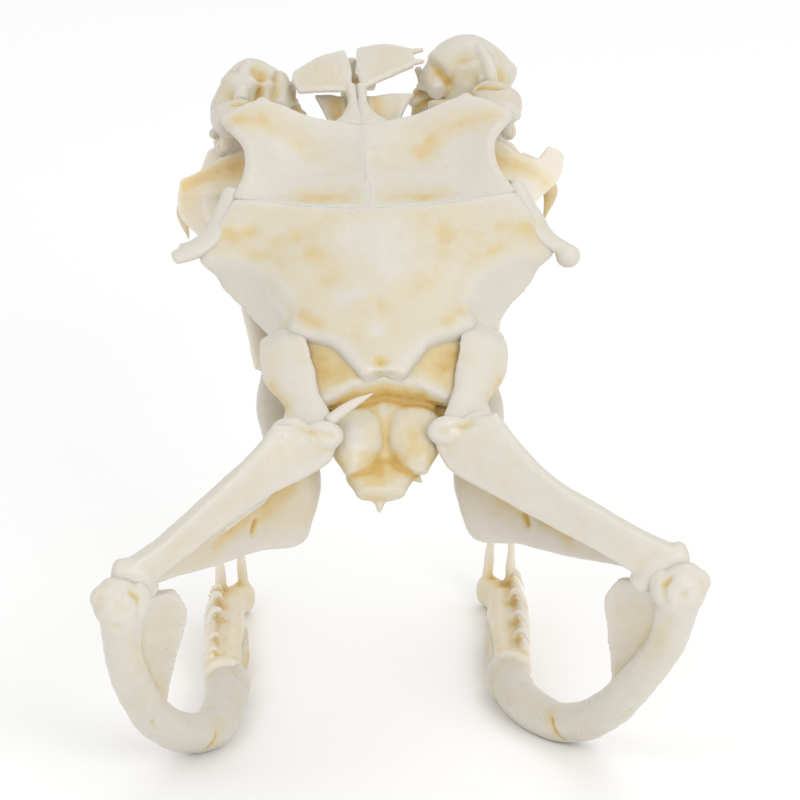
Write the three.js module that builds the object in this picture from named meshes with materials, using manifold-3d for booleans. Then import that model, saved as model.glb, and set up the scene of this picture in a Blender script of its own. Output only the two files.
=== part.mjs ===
// Rattlesnake skull, life size, resting on its two lower jaws.
// Millimetres, +Z up, snout towards +Y, left side of the animal at -X.
// While the bones are shaped, the rear bend of each lower jaw touches the floor at y = 0.
import * as THREE from 'three';
import { mergeVertices } from 'three/addons/utils/BufferGeometryUtils.js';
import Module from 'manifold-3d';

const wasm = await Module();
wasm.setup();

// Driving dimensions of the skull
const GAP = 0.3;                  // seam kept between neighbouring bones
const PITCH = 20 * Math.PI / 180; // snout-up tilt of the braincase
const CONDYLE_Y = -6.0;           // where the occipital condyle stands over the floor
const CONDYLE_Z = 18.94;
const MIDLINE_SHIFT = -0.35;      // the midline seams lie a little to the left
const HEAD_HALF_WIDTH = 9;        // sideways reach over which that shift fades out
const TABLE_SHARE = 0.62;         // how far the flat top of the parietal reaches towards its ridges
const ROOF_HALF_WIDTH = 7.9;      // frontal and parietal at their shared suture
const ORBIT_HALF_WIDTH = 7.0;     // narrowest place between the eye sockets
const ROOF_THICK = 0.6;           // roofing plates
const JAW_HALF_THICK = 1.15;      // lower jaw shaft at its rear bend, floor to top
const DENTARY_HALF_THICK = 1.15;
const FANG_RADIUS = 0.72;
const RIGHT_SNOUT_FORWARD = 1.3;  // the right upper jaw is swung further forward
const RIGHT_SNOUT_BREADTH = 1.06; // and reaches a little further out
const FLOOR_SINK = 0.12;          // depth of the small flats under each lower jaw
const JAW_LEAN = { start: 0.6, turn: -0.053, from: 6 }; // both front halves point a little to the right

const IVORY = 0xeee6cf;
const HONEY = 0xe2d0a0;
const ENAMEL = 0xf2eee2;

const LEFT = -1;
const RIGHT = 1;

function at(x, y, z) {
  return new THREE.Vector3(x, y, z);
}

// A point given along the braincase: side, forward from the condyle, up from the condyle
function skull(x, forward, up) {
  const cos = Math.cos(PITCH);
  const sin = Math.sin(PITCH);
  const shift = MIDLINE_SHIFT * Math.max(0, 1 - Math.abs(x) / HEAD_HALF_WIDTH);
  return at(x + shift, CONDYLE_Y + forward * cos - up * sin, CONDYLE_Z + forward * sin + up * cos);
}

// Closed solid from a three.js geometry
function solidOf(geometry) {
  const bare = geometry.clone();
  bare.deleteAttribute('normal');
  bare.deleteAttribute('uv');
  const merged = mergeVertices(bare, 1e-5);
  const vertProperties = new Float32Array(merged.attributes.position.array);
  const triVerts = new Uint32Array(merged.index.array);
  const solid = new wasm.Manifold(new wasm.Mesh({ numProp: 3, vertProperties, triVerts }));
  return solid.volume() < 0 ? solidOf(turnedOut(merged)) : solid;
}

function turnedOut(geometry) {
  const turned = geometry.clone();
  const index = turned.index.array;
  for (let i = 0; i < index.length; i += 3) {
    [index[i + 1], index[i + 2]] = [index[i + 2], index[i + 1]];
  }
  return turned;
}

// Value of a list of numbers at t = 0..1, eased between neighbours
function blend(list, t) {
  const place = t * (list.length - 1);
  const low = Math.min(Math.floor(place), list.length - 2);
  const straight = place - low;
  const part = (THREE.MathUtils.smoothstep(straight, 0, 1) + straight) / 2;
  return list[low] * (1 - part) + list[low + 1] * part;
}

// Rod of bone along a smooth path. wide and thick are half-sizes along the path,
// lie is the direction that thick points in, and grown makes a copy that is fatter all round.
function rod(path, wide, thick, { lie = at(0, 0, 1), around = 8, steps = 6, square = 0 } = {}) {
  const curve = new THREE.CatmullRomCurve3(path);
  return (grown) => {
    const shape = new THREE.CylinderGeometry(1, 1, 1, around, steps, false);
    const position = shape.attributes.position;
    for (let i = 0; i < position.count; i += 1) {
      const t = THREE.MathUtils.clamp(position.getY(i) + 0.5, 0, 1);
      const tangent = curve.getTangentAt(t);
      const side = new THREE.Vector3().crossVectors(tangent, lie).normalize();
      const up = new THREE.Vector3().crossVectors(side, tangent).normalize();
      const x = position.getX(i);
      const z = position.getZ(i);
      const full = 1 + square * Math.min(Math.abs(x), Math.abs(z)) / 2;
      const point = curve.getPointAt(t);
      point.addScaledVector(side, x * full * (blend(wide, t) + grown));
      point.addScaledVector(up, z * full * (blend(thick, t) + grown));
      if (t < 0.001 || t > 0.999) point.addScaledVector(tangent, Math.sign(t - 0.5) * grown);
      position.setXYZ(i, point.x, point.y, point.z);
    }
    return solidOf(shape);
  };
}

// Smooth curve through a row of points, read at t = 0..1
function along(row, t) {
  return new THREE.CatmullRomCurve3(row).getPoint(t);
}

// Curved plate of bone through rows of points, a little thinner at its rim
function plate(rows, thick, { across = 6, down = 6, rim = 0.8 } = {}) {
  const surface = (u, v) => along(rows.map((row) => along(row, u)), v);
  const step = 0.01;
  return (grown) => {
    const shape = new THREE.BoxGeometry(1, 1, 1, across, down, 1);
    const position = shape.attributes.position;
    for (let i = 0; i < position.count; i += 1) {
      const u = THREE.MathUtils.clamp(position.getX(i) + 0.5, 0, 1);
      const v = THREE.MathUtils.clamp(position.getY(i) + 0.5, 0, 1);
      const alongU = surface(Math.min(u + step, 1), v).sub(surface(Math.max(u - step, 0), v)).normalize();
      const alongV = surface(u, Math.min(v + step, 1)).sub(surface(u, Math.max(v - step, 0))).normalize();
      const normal = new THREE.Vector3().crossVectors(alongU, alongV).normalize();
      const edge = Math.min(u, 1 - u, v, 1 - v) < step ? rim : 1;
      const point = surface(u, v);
      point.addScaledVector(normal, Math.sign(position.getZ(i)) * (thick * 0.5 * edge + grown));
      if (u < step || u > 1 - step) point.addScaledVector(alongU, Math.sign(u - 0.5) * grown);
      if (v < step || v > 1 - step) point.addScaledVector(alongV, Math.sign(v - 0.5) * grown);
      position.setXYZ(i, point.x, point.y, point.z);
    }
    return solidOf(shape);
  };
}

// Rounded lump with three half-sizes
function lump(centre, sizeX, sizeY, sizeZ) {
  return (grown) => {
    const shape = new THREE.SphereGeometry(1, 8, 6);
    shape.scale(sizeX + grown, sizeY + grown, sizeZ + grown);
    shape.translate(centre.x, centre.y, centre.z);
    return solidOf(shape);
  };
}

// Curved pointed tooth, thick at its sunk root
function tooth(root, middle, tip, radius, sides = 4) {
  const sizes = [radius, radius * 0.75, 0.07];
  return rod([root, middle, tip], sizes, sizes, { around: sides, steps: 3, lie: at(0.31, 0.9, 0.13) });
}

// Bones in the order in which they are fitted: a later one gives way to all earlier ones
const bones = [];

function bone(name, colour, parts, cuts = []) {
  bones.push({ name, colour, parts, cuts });
}

function sideName(name, side) {
  return `${name}_${side === LEFT ? 'left' : 'right'}`;
}

// One section across the parietal, from its left foot over both ridges to its right foot.
// The ridge and the foot are given as side, forward, up, and the middle as forward, up.
function parietalRow([ridge, foot, middle]) {
  const [forward, up] = middle;
  const fall = TABLE_SHARE ** 2.4;
  const inner = [
    ridge[0] * TABLE_SHARE,
    forward + (ridge[1] - forward) * fall,
    up + (ridge[2] - up) * fall,
  ];
  const face = ridge.map((value, i) => (value + foot[i]) / 2);
  const half = [foot, face, ridge, inner];
  const left = half.map(([x, f, u]) => skull(-x, f, u));
  const right = half.map(([x, f, u]) => skull(x, f, u)).reverse();
  return [...left, skull(0, forward, up), ...right];
}

function addBraincase() {
  const sections = [
    [[ROOF_HALF_WIDTH, 17.25, 6.75], [7.0, 17.2, 4.0], [16.2, 6.75]],
    [[9.2, 15.9, 5.6], [8.3, 15.7, 3.8], [15.2, 6.6]],
    [[9.9, 14.8, 4.6], [8.7, 14.3, 3.3], [14.3, 6.5]],
    [[7.9, 13.9, 4.95], [8.2, 13.2, 2.9], [13.2, 6.4]],
    [[6.3, 12.5, 5.3], [7.5, 12.4, 2.7], [11.9, 6.3]],
    [[5.1, 10.7, 5.25], [6.8, 11.0, 2.7], [10.3, 6.1]],
    [[4.6, 9.5, 5.0], [6.2, 9.6, 2.9], [8.9, 5.85]],
    [[4.8, 8.3, 4.5], [5.7, 8.4, 3.3], [7.6, 5.5]],
    [[3.0, 6.7, 4.7], [3.3, 6.4, 3.6], [6.4, 5.1]],
    [[2.1, 5.4, 4.55], [2.4, 5.3, 3.6], [5.3, 4.8]],
    [[1.4, 4.5, 4.45], [1.6, 4.5, 3.6], [4.4, 4.55]],
  ];
  const filling = sections.slice(0, -1).map(([ridge, foot, middle]) => [
    [ridge[0] - 0.7, ridge[1], ridge[2] - 0.8],
    [foot[0] - 0.8, foot[1], foot[2] + 0.1],
    [middle[0], middle[1] - 0.8],
  ]);
  bone('parietal', IVORY, [
    plate(sections.map(parietalRow), ROOF_THICK, { across: 12, down: 12 }),
    plate(filling.map(parietalRow), 1.7, { across: 8, down: 8, rim: 1 }),
    rod([skull(0, 17.0, 4.2), skull(0, 12.5, 3.7), skull(0, 9.4, 3.5), skull(0, 5.6, 3.7)],
      [6.6, 6.5, 5.4, 2.4], [2.3, 2.2, 1.9, 1.0], { around: 16, steps: 6, square: 0.6 }),
  ]);

  const sides = [LEFT, RIGHT].flatMap((side) => {
    const p = (x, forward, up) => skull(side * x, forward, up);
    return [
      plate([
        [p(5.7, 8.6, 3.3), p(4.4, 8.1, 3.9), p(3.0, 6.9, 4.3)],
        [p(5.3, 6.2, 2.9), p(3.7, 5.6, 3.55), p(2.2, 5.3, 4.1)],
        [p(4.5, 4.2, 2.5), p(2.9, 4.0, 3.3), p(1.0, 4.5, 3.9)],
      ], 1.0, { across: 4, down: 4 }),
      rod([p(1.25, 3.6, 1.5), p(1.42, 2.2, 1.45), p(1.25, 0.9, 0.9)], [1.2, 1.4, 1.1], [1.1, 1.25, 0.8],
        { around: 10, steps: 5, square: 0.35 }),
      rod([p(2.7, 5.0, 1.4), p(2.75, 2.6, 1.1)], [0.9, 0.7], [1.1, 0.9], { steps: 2 }),
    ];
  });
  bone('occipital', HONEY, [
    rod([skull(0, 8.8, 1.5), skull(0, 5.4, 1.4), skull(0, 3.4, 1.1), skull(0, 1.4, 0.3)],
      [5.1, 4.5, 2.9, 1.7], [1.9, 1.8, 1.5, 0.9], { around: 12, steps: 6, square: 0.3 }),
    ...sides,
    rod([skull(-3.15, 3.3, 3.2), skull(-1.9, 4.15, 3.55), skull(0, 4.4, 3.8), skull(1.9, 4.15, 3.55),
      skull(3.15, 3.3, 3.2)], [0.4, 0.4, 0.4], [0.45, 0.45, 0.45], { around: 6, steps: 8 }),
    rod([skull(0, 1.7, 0.1), skull(0, 0.2, -0.05), skull(0, -0.9, -0.4)], [1.6, 1.75, 1.2],
      [0.75, 0.85, 0.55], { around: 10, steps: 4, square: 0.4 }),
    rod([skull(0, -0.5, -0.6), skull(0, -0.8, -1.1), skull(0, -0.9, -1.75)], [0.35, 0.26, 0.12],
      [0.35, 0.26, 0.12], { around: 6, steps: 3, lie: at(1, 0, 0) }),
  ]);

  bone('basisphenoid', HONEY, [
    rod([skull(0, 27.0, 2.2), skull(0, 20, 1.3), skull(0, 14, 0.4), skull(0, 8.5, -0.5), skull(0, 4.2, -0.7)],
      [0.45, 0.9, 1.7, 2.9, 2.2], [0.5, 0.75, 0.9, 0.9, 0.6], { steps: 8 }),
    rod([skull(0, 12, -0.3), skull(0, 8, -1.5), skull(0, 4.4, -1.2)], [0.35, 0.4, 0.3], [0.5, 0.9, 0.5],
      { steps: 4, around: 6 }),
  ]);
}

function addFrontal(side) {
  const seam = GAP / 2;
  const orbit = ORBIT_HALF_WIDTH;
  const p = (x, forward, up) => skull(side * x, forward, up);
  const rows = [
    [p(seam, 16.6, 6.75), p(2.8, 16.75, 6.7), p(5.4, 17.2, 6.75), p(ROOF_HALF_WIDTH, 17.8, 6.85)],
    [p(seam, 19.2, 6.45), p(2.8, 19.3, 6.1), p(5.2, 19.5, 6.2), p(orbit + 0.15, 19.8, 6.9)],
    [p(seam, 22.2, 6.3), p(2.8, 22.3, 5.9), p(5.2, 22.4, 6.2), p(orbit + 0.1, 22.1, 7.0)],
    [p(seam, 24.8, 6.2), p(3.1, 25.4, 6.5), p(6.1, 26.1, 7.3), p(8.4, 25.1, 6.9)],
  ];
  bone(sideName('frontal', side), IVORY, [
    plate(rows, ROOF_THICK, { across: 8, down: 6 }),
    rod([p(1.9, 17.4, 4.0), p(1.75, 21, 4.2), p(1.6, 25.0, 4.5)], [1.6, 1.45, 1.3], [2.2, 1.9, 1.5],
      { steps: 4, square: 0.3 }),
    rod([p(6.9, 24.2, 6.5), p(7.8, 25.3, 6.2)], [0.8, 0.8], [0.65, 0.65], { steps: 2, around: 6 }),
    lump(p(6.0, 26.1, 7.0), 0.5, 0.5, 0.45),
  ]);
}

function addSupratemporal(side) {
  const p = (x, forward, up) => skull(side * x, forward, up);
  bone(sideName('supratemporal', side), IVORY, [
    rod([p(5.6, 9.0, 4.2), p(5.65, 7.4, 4.25), p(5.4, 5.4, 3.8), p(4.8, 3.5, 3.4), p(4.5, 2.2, 2.95)],
      [1.1, 1.5, 1.6, 1.05, 1.2], [0.4, 0.45, 0.5, 0.5, 0.5], { lie: at(side * 0.35, -0.3, 1), steps: 8 }),
  ]);
}

// Flat bar of the quadrate, drawn between its upper and its lower edge from the head to the jaw joint
function addQuadrate(side) {
  const p = (x, y, z) => at(side * x, y, z);
  const upper = side === LEFT
    ? [p(6.6, -6.3, 22.7), p(7.5, -7.2, 21.9), p(9.0, -8.5, 20.8), p(11.2, -10.0, 19.3), p(13.2, -11.2, 18.0),
      p(14.9, -12.0, 17.1)]
    : [p(5.8, -6.2, 23.1), p(7.0, -7.4, 21.7), p(8.6, -9.0, 20.3), p(11.1, -10.7, 19.1), p(13.2, -11.6, 18.0),
      p(14.7, -12.0, 17.2)];
  const lower = side === LEFT
    ? [p(2.9, -5.4, 22.1), p(3.5, -5.9, 20.6), p(6.4, -7.2, 19.5), p(9.2, -8.7, 18.3), p(11.7, -10.2, 17.0),
      p(13.7, -11.5, 15.9)]
    : [p(2.2, -5.3, 21.9), p(3.1, -6.0, 20.1), p(5.9, -7.7, 18.8), p(9.0, -9.5, 17.5), p(11.3, -10.7, 16.6),
      p(13.3, -11.6, 15.6)];
  const rows = upper.map((top, i) => [top, top.clone().lerp(lower[i], 0.5), lower[i]]);
  const head = upper[0].clone().lerp(lower[0], 0.5);
  bone(sideName('quadrate', side), IVORY, [
    plate(rows, 1.3, { across: 4, down: 8, rim: 0.6 }),
    lump(head.clone().add(p(-0.9, -0.25, -0.45)), 1.2, 0.65, 0.9),
    lump(head.clone().add(p(0.9, 0, -0.2)), 1.1, 0.65, 0.8),
    rod([p(14.5, -11.7, 16.7), p(13.9, -11.3, 16.0)], [0.75, 0.75], [0.75, 0.75], { steps: 2 }),
  ]);
}

function addPostorbital(side) {
  const p = (x, forward, up) => skull(side * x, forward, up);
  bone(sideName('postorbital', side), IVORY, [
    rod([p(8.3, 18.4, 6.6), p(8.8, 17.0, 6.1), p(9.45, 16.0, 5.45), p(10.5, 15.5, 5.0), p(11.8, 14.9, 4.7)],
      [0.45, 0.52, 0.66, 0.6, 0.55], [0.42, 0.45, 0.45, 0.42, 0.42],
      { around: 6, steps: 8, lie: at(side * 0.5, -0.5, 1) }),
  ]);
}

function addUpperJaw(side) {
  const ahead = side === RIGHT ? RIGHT_SNOUT_FORWARD : 0;
  const breadth = side === RIGHT ? RIGHT_SNOUT_BREADTH : 1;
  const p = (x, forward, up) => {
    const swing = THREE.MathUtils.clamp((forward - 24) / 4, 0, 1);
    return skull(side * x * THREE.MathUtils.lerp(1, breadth, swing), forward + ahead * swing, up);
  };
  bone(sideName('prefrontal', side), IVORY, [
    rod([p(7.7, 25.1, 6.1), p(7.6, 27.3, 5.4), p(7.1, 28.9, 4.7)], [1.3, 1.5, 1.2], [0.85, 1.0, 0.85],
      { steps: 4 }),
    rod([p(7.3, 27.6, 5.0), p(5.3, 28.4, 4.6), p(4.2, 29.6, 4.1)], [0.9, 0.7, 0.4], [0.6, 0.5, 0.35],
      { steps: 4, around: 6 }),
  ]);
  bone(sideName('maxilla', side), IVORY, [
    rod([p(6.6, 31.8, 4.8), p(6.9, 31.2, 3.4), p(7.6, 30.4, 1.7), p(7.9, 29.9, -0.2)],
      [1.6, 2.2, 2.0, 1.5], [1.2, 1.5, 1.5, 1.35], { lie: at(0, 1, 0), around: 10 }),
    rod([p(5.2, 32.4, 4.4), p(6.5, 33.0, 4.5), p(7.7, 32.4, 3.7)], [0.75, 0.9, 0.8], [0.7, 0.8, 0.8],
      { steps: 4 }),
    rod([p(6.6, 33.2, 4.7), p(6.9, 31.8, 5.0), p(7.15, 30.4, 4.5)], [0.5, 0.5, 0.5], [0.5, 0.5, 0.5],
      { steps: 4, around: 6 }),
    rod([p(4.9, 32.9, 3.9), p(4.5, 31.7, 3.7), p(4.6, 30.6, 3.6)], [0.8, 0.9, 0.6], [0.75, 0.75, 0.6],
      { steps: 3 }),
    rod([p(7.6, 30.0, 2.4), p(8.6, 29.5, 2.6), p(9.0, 29.3, 2.6)], [0.7, 0.5, 0.35], [0.8, 0.5, 0.35],
      { steps: 3, around: 6 }),
  ], [lump(p(5.85, 31.6, 5.0), 0.5, 0.8, 0.9)]);
  const fangSizes = [1, 0.85, 0.55, 0.14].map((share) => share * FANG_RADIUS);
  bone(sideName('fang', side), ENAMEL, [
    rod([p(7.9, 29.9, -0.7), p(8.6, 30.3, -2.6), p(9.8, 30.0, -4.2), p(10.9, 29.1, -5.3)], fangSizes,
      fangSizes, { steps: 6, lie: at(0, 1, 0.2) }),
  ]);
  bone(sideName('palatine', side), HONEY, [
    rod([p(3.0, 25.4, -0.6), p(3.4, 28.2, 0.3), p(3.9, 31.0, 1.5), p(4.0, 32.4, 2.3)],
      [0.7, 0.8, 0.85, 0.7], [0.5, 0.6, 0.6, 0.5], { steps: 5 }),
    rod([p(3.9, 31.6, 1.9), p(3.9, 33.0, 2.7), p(3.7, 33.6, 3.1)], [0.4, 0.3, 0.25], [0.4, 0.3, 0.25],
      { steps: 3, around: 6 }),
    rod([p(3.2, 31.4, 2.2), p(4.2, 32.0, 2.5), p(5.2, 31.6, 2.6)], [0.5, 0.65, 0.5], [0.4, 0.45, 0.4],
      { steps: 3, around: 6 }),
    ...[0, 1, 2].map((i) => {
      const x = 3.3 + i * 0.25;
      const forward = 27.2 + i * 1.5;
      const up = 0.1 + i * 0.5;
      return tooth(p(x, forward, up), p(x, forward, up - 1.2), p(x, forward - 0.7, up - 2.1), 0.3);
    }),
  ]);
}

function addSnout(side) {
  const seam = GAP / 2;
  const p = (x, forward, up) => skull(side * x, forward, up);
  const wing = side === LEFT
    ? { rear: 29.9, front: 32.2, midRear: 29.9, midFront: 33.7, reach: 4.1 }
    : { rear: 32.8, front: 34.3, midRear: 31.0, midFront: 35.3, reach: 4.0 };
  const rows = [
    [p(seam + 0.2, 29.7, 5.2), p(seam, 32.6, 4.9), p(seam + 0.25, 35.3, 4.25)],
    [p(1.9, wing.midRear, 5.2), p(1.9, 32.7, 5.0), p(1.9, wing.midFront, 4.6)],
    [p(wing.reach - 0.3, wing.rear, 5.0), p(wing.reach, (wing.rear + wing.front) / 2, 4.9),
      p(wing.reach, wing.front, 4.75)],
  ];
  bone(sideName('nasal', side), IVORY, [
    plate(rows, 0.5, { across: 5, down: 5, rim: 1 }),
    rod([p(0.8, 25.3, 5.8), p(0.55, 26.4, 5.6), p(0.46, 27.9, 5.3), p(0.46, 30.4, 5.05)],
      [0.75, 0.42, 0.3, 0.31], [0.35, 0.45, 0.45, 0.45], { steps: 6, around: 6 }),
  ]);
  bone(sideName('septomaxilla', side), HONEY, [
    rod([p(0.9, 28.2, 4.4), p(1.7, 29.6, 4.0), p(2.7, 31.0, 3.7)], [0.5, 1.05, 0.6], [0.45, 0.5, 0.35],
      { steps: 4 }),
  ]);
  bone(sideName('vomer', side), HONEY, [
    rod([p(0.75, 26.2, 3.2), p(0.9, 29.5, 2.6), p(0.8, 32.6, 2.4)], [0.45, 0.6, 0.4], [0.6, 0.7, 0.4],
      { steps: 4 }),
  ]);
}

function addPremaxilla() {
  bone('premaxilla', HONEY, [
    rod([skull(-1.3, 34.6, 2.2), skull(0, 35.0, 2.1), skull(1.3, 34.6, 2.2)], [0.35, 0.5, 0.35],
      [0.4, 0.5, 0.4]),
    rod([skull(0, 35.0, 2.2), skull(0, 34.8, 3.2), skull(0, 34.2, 4.2)], [0.4, 0.3, 0.3], [0.4, 0.35, 0.3],
      { steps: 3, around: 6, lie: at(0, 1, 0) }),
    rod([skull(0, 34.9, 2.1), skull(0, 32.4, 1.9)], [0.5, 0.9], [0.35, 0.3], { steps: 2 }),
  ]);
}

function addPterygoid(side) {
  const p = (x, forward, up) => skull(side * x, forward, up);
  const w = (x, y, z) => at(side * x, y, z);
  const bladeRows = [
    [w(6.0, 2.2, 20.2), w(5.7, 2.2, 19.1), w(5.4, 2.0, 17.9)],
    [w(4.4, -2.0, 19.7), w(4.2, -2.2, 17.4), w(5.0, -2.8, 14.4)],
    [w(7.2, -4.2, 19.3), w(7.3, -4.2, 17.2), w(7.3, -4.2, 14.6)],
    [w(10.3, -6.9, 17.6), w(10.2, -6.8, 16.2), w(10.0, -6.5, 14.6)],
    [w(13.4, -10.2, 16.1), w(13.3, -10.1, 15.6), w(13.2, -9.9, 15.1)],
  ];
  const teeth = [...Array(8).keys()].map((i) => {
    const forward = 24 - i * 1.6;
    const lateral = 3.1 + i * 0.28;
    const low = -1.7 - i * 0.08;
    return tooth(p(lateral, forward, low), p(lateral, forward, low - 1.0),
      p(lateral, forward - 0.6, low - 1.7 + i * 0.06), 0.28);
  });
  bone(sideName('pterygoid', side), IVORY, [
    rod([p(2.8, 24.9, -1.2), p(4.0, 19, -1.7), p(5.3, 13, -1.9), p(6.0, 9, -1.6), p(5.8, 5.5, -1.3)],
      [0.6, 0.8, 1.1, 1.1, 1.0], [0.55, 0.6, 0.6, 0.6, 0.6], { steps: 8 }),
    plate(bladeRows, 0.6, { across: 4, down: 9 }),
    ...teeth,
  ]);
}

function addEctopterygoid(side) {
  const p = (x, forward, up) => skull(side * x, forward, up);
  const band = side === LEFT
    ? [
      [p(6.4, 27.2, 3.4), p(8.2, 26.6, 3.1), p(9.8, 26.2, 2.3), p(11.1, 25.95, 1.75)],
      [p(6.9, 24.4, 1.9), p(8.4, 24.6, 1.6), p(9.7, 24.8, 1.35), p(11.2, 25.0, 1.25)],
    ]
    : [
      [p(7.0, 28.2, 3.6), p(8.3, 26.9, 3.3), p(9.4, 26.3, 2.8), p(10.7, 26.8, 2.1)],
      [p(7.3, 25.0, 2.2), p(8.4, 24.8, 2.0), p(9.4, 25.0, 1.7), p(10.7, 25.8, 1.2)],
    ];
  const leaf = side === LEFT
    ? [
      [p(7.6, 24.7, 1.5), p(9.4, 25.0, 1.4), p(11.2, 25.3, 1.25)],
      [p(8.5, 23.5, 1.0), p(9.7, 23.7, 0.8), p(11.05, 24.1, 0.5)],
      [p(9.1, 22.6, 0.2), p(9.6, 22.5, 0.1), p(10.1, 22.8, 0.1)],
    ]
    : [
      [p(11.1, 28.3, 1.9), p(11.7, 28.2, 1.7), p(12.1, 27.9, 1.5)],
      [p(9.9, 26.2, 2.0), p(10.8, 26.2, 1.5), p(11.6, 26.6, 0.8)],
      [p(8.2, 24.0, 2.0), p(9.0, 23.8, 1.5), p(9.7, 23.7, 0.9)],
    ];
  bone(sideName('ectopterygoid', side), IVORY, [
    rod([p(8.7, 28.8, 1.5), p(9.4, 26.3, 1.5), p(9.3, 24.0, 1.1), p(9.0, 21.5, 0.5), p(8.5, 18.5, -0.2),
      p(7.6, 15.5, -1.0), p(6.9, 12.4, -1.5)],
    [0.8, 0.9, 1.0, 0.8, 0.7, 0.65, 0.6], [0.5, 0.45, 0.45, 0.45, 0.5, 0.5, 0.4], { steps: 10 }),
    plate(band, 0.6, { across: 5, down: 3 }),
    plate(leaf, 0.6, { across: 4, down: 4 }),
  ]);
}

function addStapes() {
  bone('stapes_left', IVORY, [
    rod([skull(-3.2, 1.5, 3.5), skull(-2.2, 1.9, 4.1), skull(-0.6, 2.4, 4.7)], [0.42, 0.35, 0.1],
      [0.42, 0.35, 0.1], { steps: 4 }),
  ]);
  bone('stapes_right', IVORY, [
    rod([skull(4.0, 4.4, 1.2), skull(4.3, 2.6, 0.9), skull(4.7, 1.3, 0.8)], [0.45, 0.28, 0.25],
      [0.45, 0.28, 0.25], { steps: 4 }),
  ]);
}

function addLowerJaw(side) {
  const lean = (y) => JAW_LEAN.start * THREE.MathUtils.smoothstep(y, 0, JAW_LEAN.from)
    + JAW_LEAN.turn * Math.max(0, y - JAW_LEAN.from);
  const p = (x, y, z) => at(side * x - lean(y), y, z);
  const low = JAW_HALF_THICK - FLOOR_SINK;
  bone(sideName('compound', side), IVORY, [
    rod([p(15.3, -13.0, 14.6), p(14.95, -10.6, 11.0), p(14.3, -6.9, 7.2), p(13.2, -3.4, 3.9),
      p(11.6, -0.5, 1.8), p(9.9, 1.6, low), p(8.7, 4.6, low + 0.25), p(8.55, 8.0, low + 0.2),
      p(8.5, 9.7, low)],
    [1.2, 1.2, 1.3, 1.25, 1.2, JAW_HALF_THICK, 1.15, 1.1, 0.7],
    [1.3, 1.4, 1.4, 1.35, 1.35, 1.35, 1.3, 1.2, 0.8],
    { steps: 16, around: 10, lie: at(side, 0.15, -0.2) }),
    lump(p(15.4, -13.1, 15.3), 1.45, 1.2, 1.6),
    lump(p(16.45, -13.2, 15.3), 0.75, 0.8, 0.95),
    lump(p(15.1, -13.2, 16.4), 1.15, 0.8, 0.85),
    lump(p(14.35, -13.1, 15.3), 0.75, 0.8, 1.0),
    plate([
      [p(14.6, -12.3, 14.9), p(13.4, -10.9, 14.85), p(12.5, -9.8, 14.6)],
      [p(14.9, -11.9, 13.6), p(13.1, -9.9, 13.5), p(11.7, -9.1, 13.2)],
      [p(14.9, -10.6, 11.4), p(13.3, -8.8, 11.3), p(12.0, -7.7, 10.8)],
      [p(14.5, -8.0, 8.6), p(13.4, -6.6, 8.4), p(12.5, -5.8, 8.2)],
      [p(13.8, -5.4, 5.9), p(13.2, -4.6, 5.6), p(12.8, -4.1, 5.4)],
    ], 0.7, { across: 3, down: 6 }),
  ]);
  bone(sideName('splenial', side), HONEY, [
    rod([p(7.6, 8.6, 1.3), p(7.45, 12.0, 1.2), p(7.5, 16.0, 1.1)], [0.32, 0.35, 0.27], [0.55, 0.6, 0.4],
      { steps: 4 }),
  ]);
  addDentary(side, p);
}

// Toothed front bone of the lower jaw: slender recurved teeth, the two foremost ones longest
function addDentary(side, p) {
  const t = DENTARY_HALF_THICK;
  const teeth = side === LEFT
    ? [[9.6, 0.8], [11.3, 1.5], [13.9, 1.7], [16.8, 1.5], [19.2, 1.4]]
    : [[9.9, 0.9], [12.0, 1.7], [17.3, 1.7], [19.6, 1.4]];
  bone(sideName('dentary', side), IVORY, [
    rod([p(8.6, 9.2, t + 0.1), p(8.6, 13.0, t + 0.1), p(8.6, 17.0, t + 0.1), p(8.5, 20.2, t - FLOOR_SINK),
      p(7.6, 21.9, t - FLOOR_SINK)],
    [1.2, 1.2, 1.2, 1.1, 0.8], [t, t, t, t, 1.0], { steps: 9, around: 8 }),
    rod([p(9.4, 9.8, 1.9), p(9.5, 13.0, 2.0), p(9.5, 17.0, 2.0), p(9.2, 20.4, 1.9)], [0.4, 0.45, 0.45, 0.4],
      [0.5, 0.6, 0.6, 0.5], { steps: 6, around: 6 }),
    ...teeth.map(([y, tall]) => tooth(p(9.6, y + 0.25, 1.7), p(9.75, y + 0.25, 2.1 + tall * 0.35),
      p(8.75, y - 0.35, 2.15 + tall), 0.34)),
    tooth(p(8.9, 20.8, 1.5), p(9.05, 21.0, 3.4), p(9.0, 20.6, 5.9), 0.44, 6),
    tooth(p(7.6, 21.7, 1.4), p(7.75, 21.9, 3.4), p(7.9, 21.5, 5.9), 0.42, 6),
  ]);
}

function largest(solid) {
  return solid.decompose().reduce((best, piece) => (piece.volume() > best.volume() ? piece : best));
}

function joined(shapes, grown) {
  return shapes.map((shape) => shape(grown)).reduce((whole, shape) => whole.add(shape));
}

function boxesMeet(a, b) {
  const one = a.boundingBox();
  const two = b.boundingBox();
  return [0, 1, 2].every((i) => one.min[i] < two.max[i] && two.min[i] < one.max[i]);
}

// Everything under the floor: taking it off leaves the small flats that the jaws rest on
function belowFloor() {
  const block = new THREE.BoxGeometry(60, 60, 4);
  block.translate(0, 5, -2);
  return solidOf(block);
}

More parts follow.
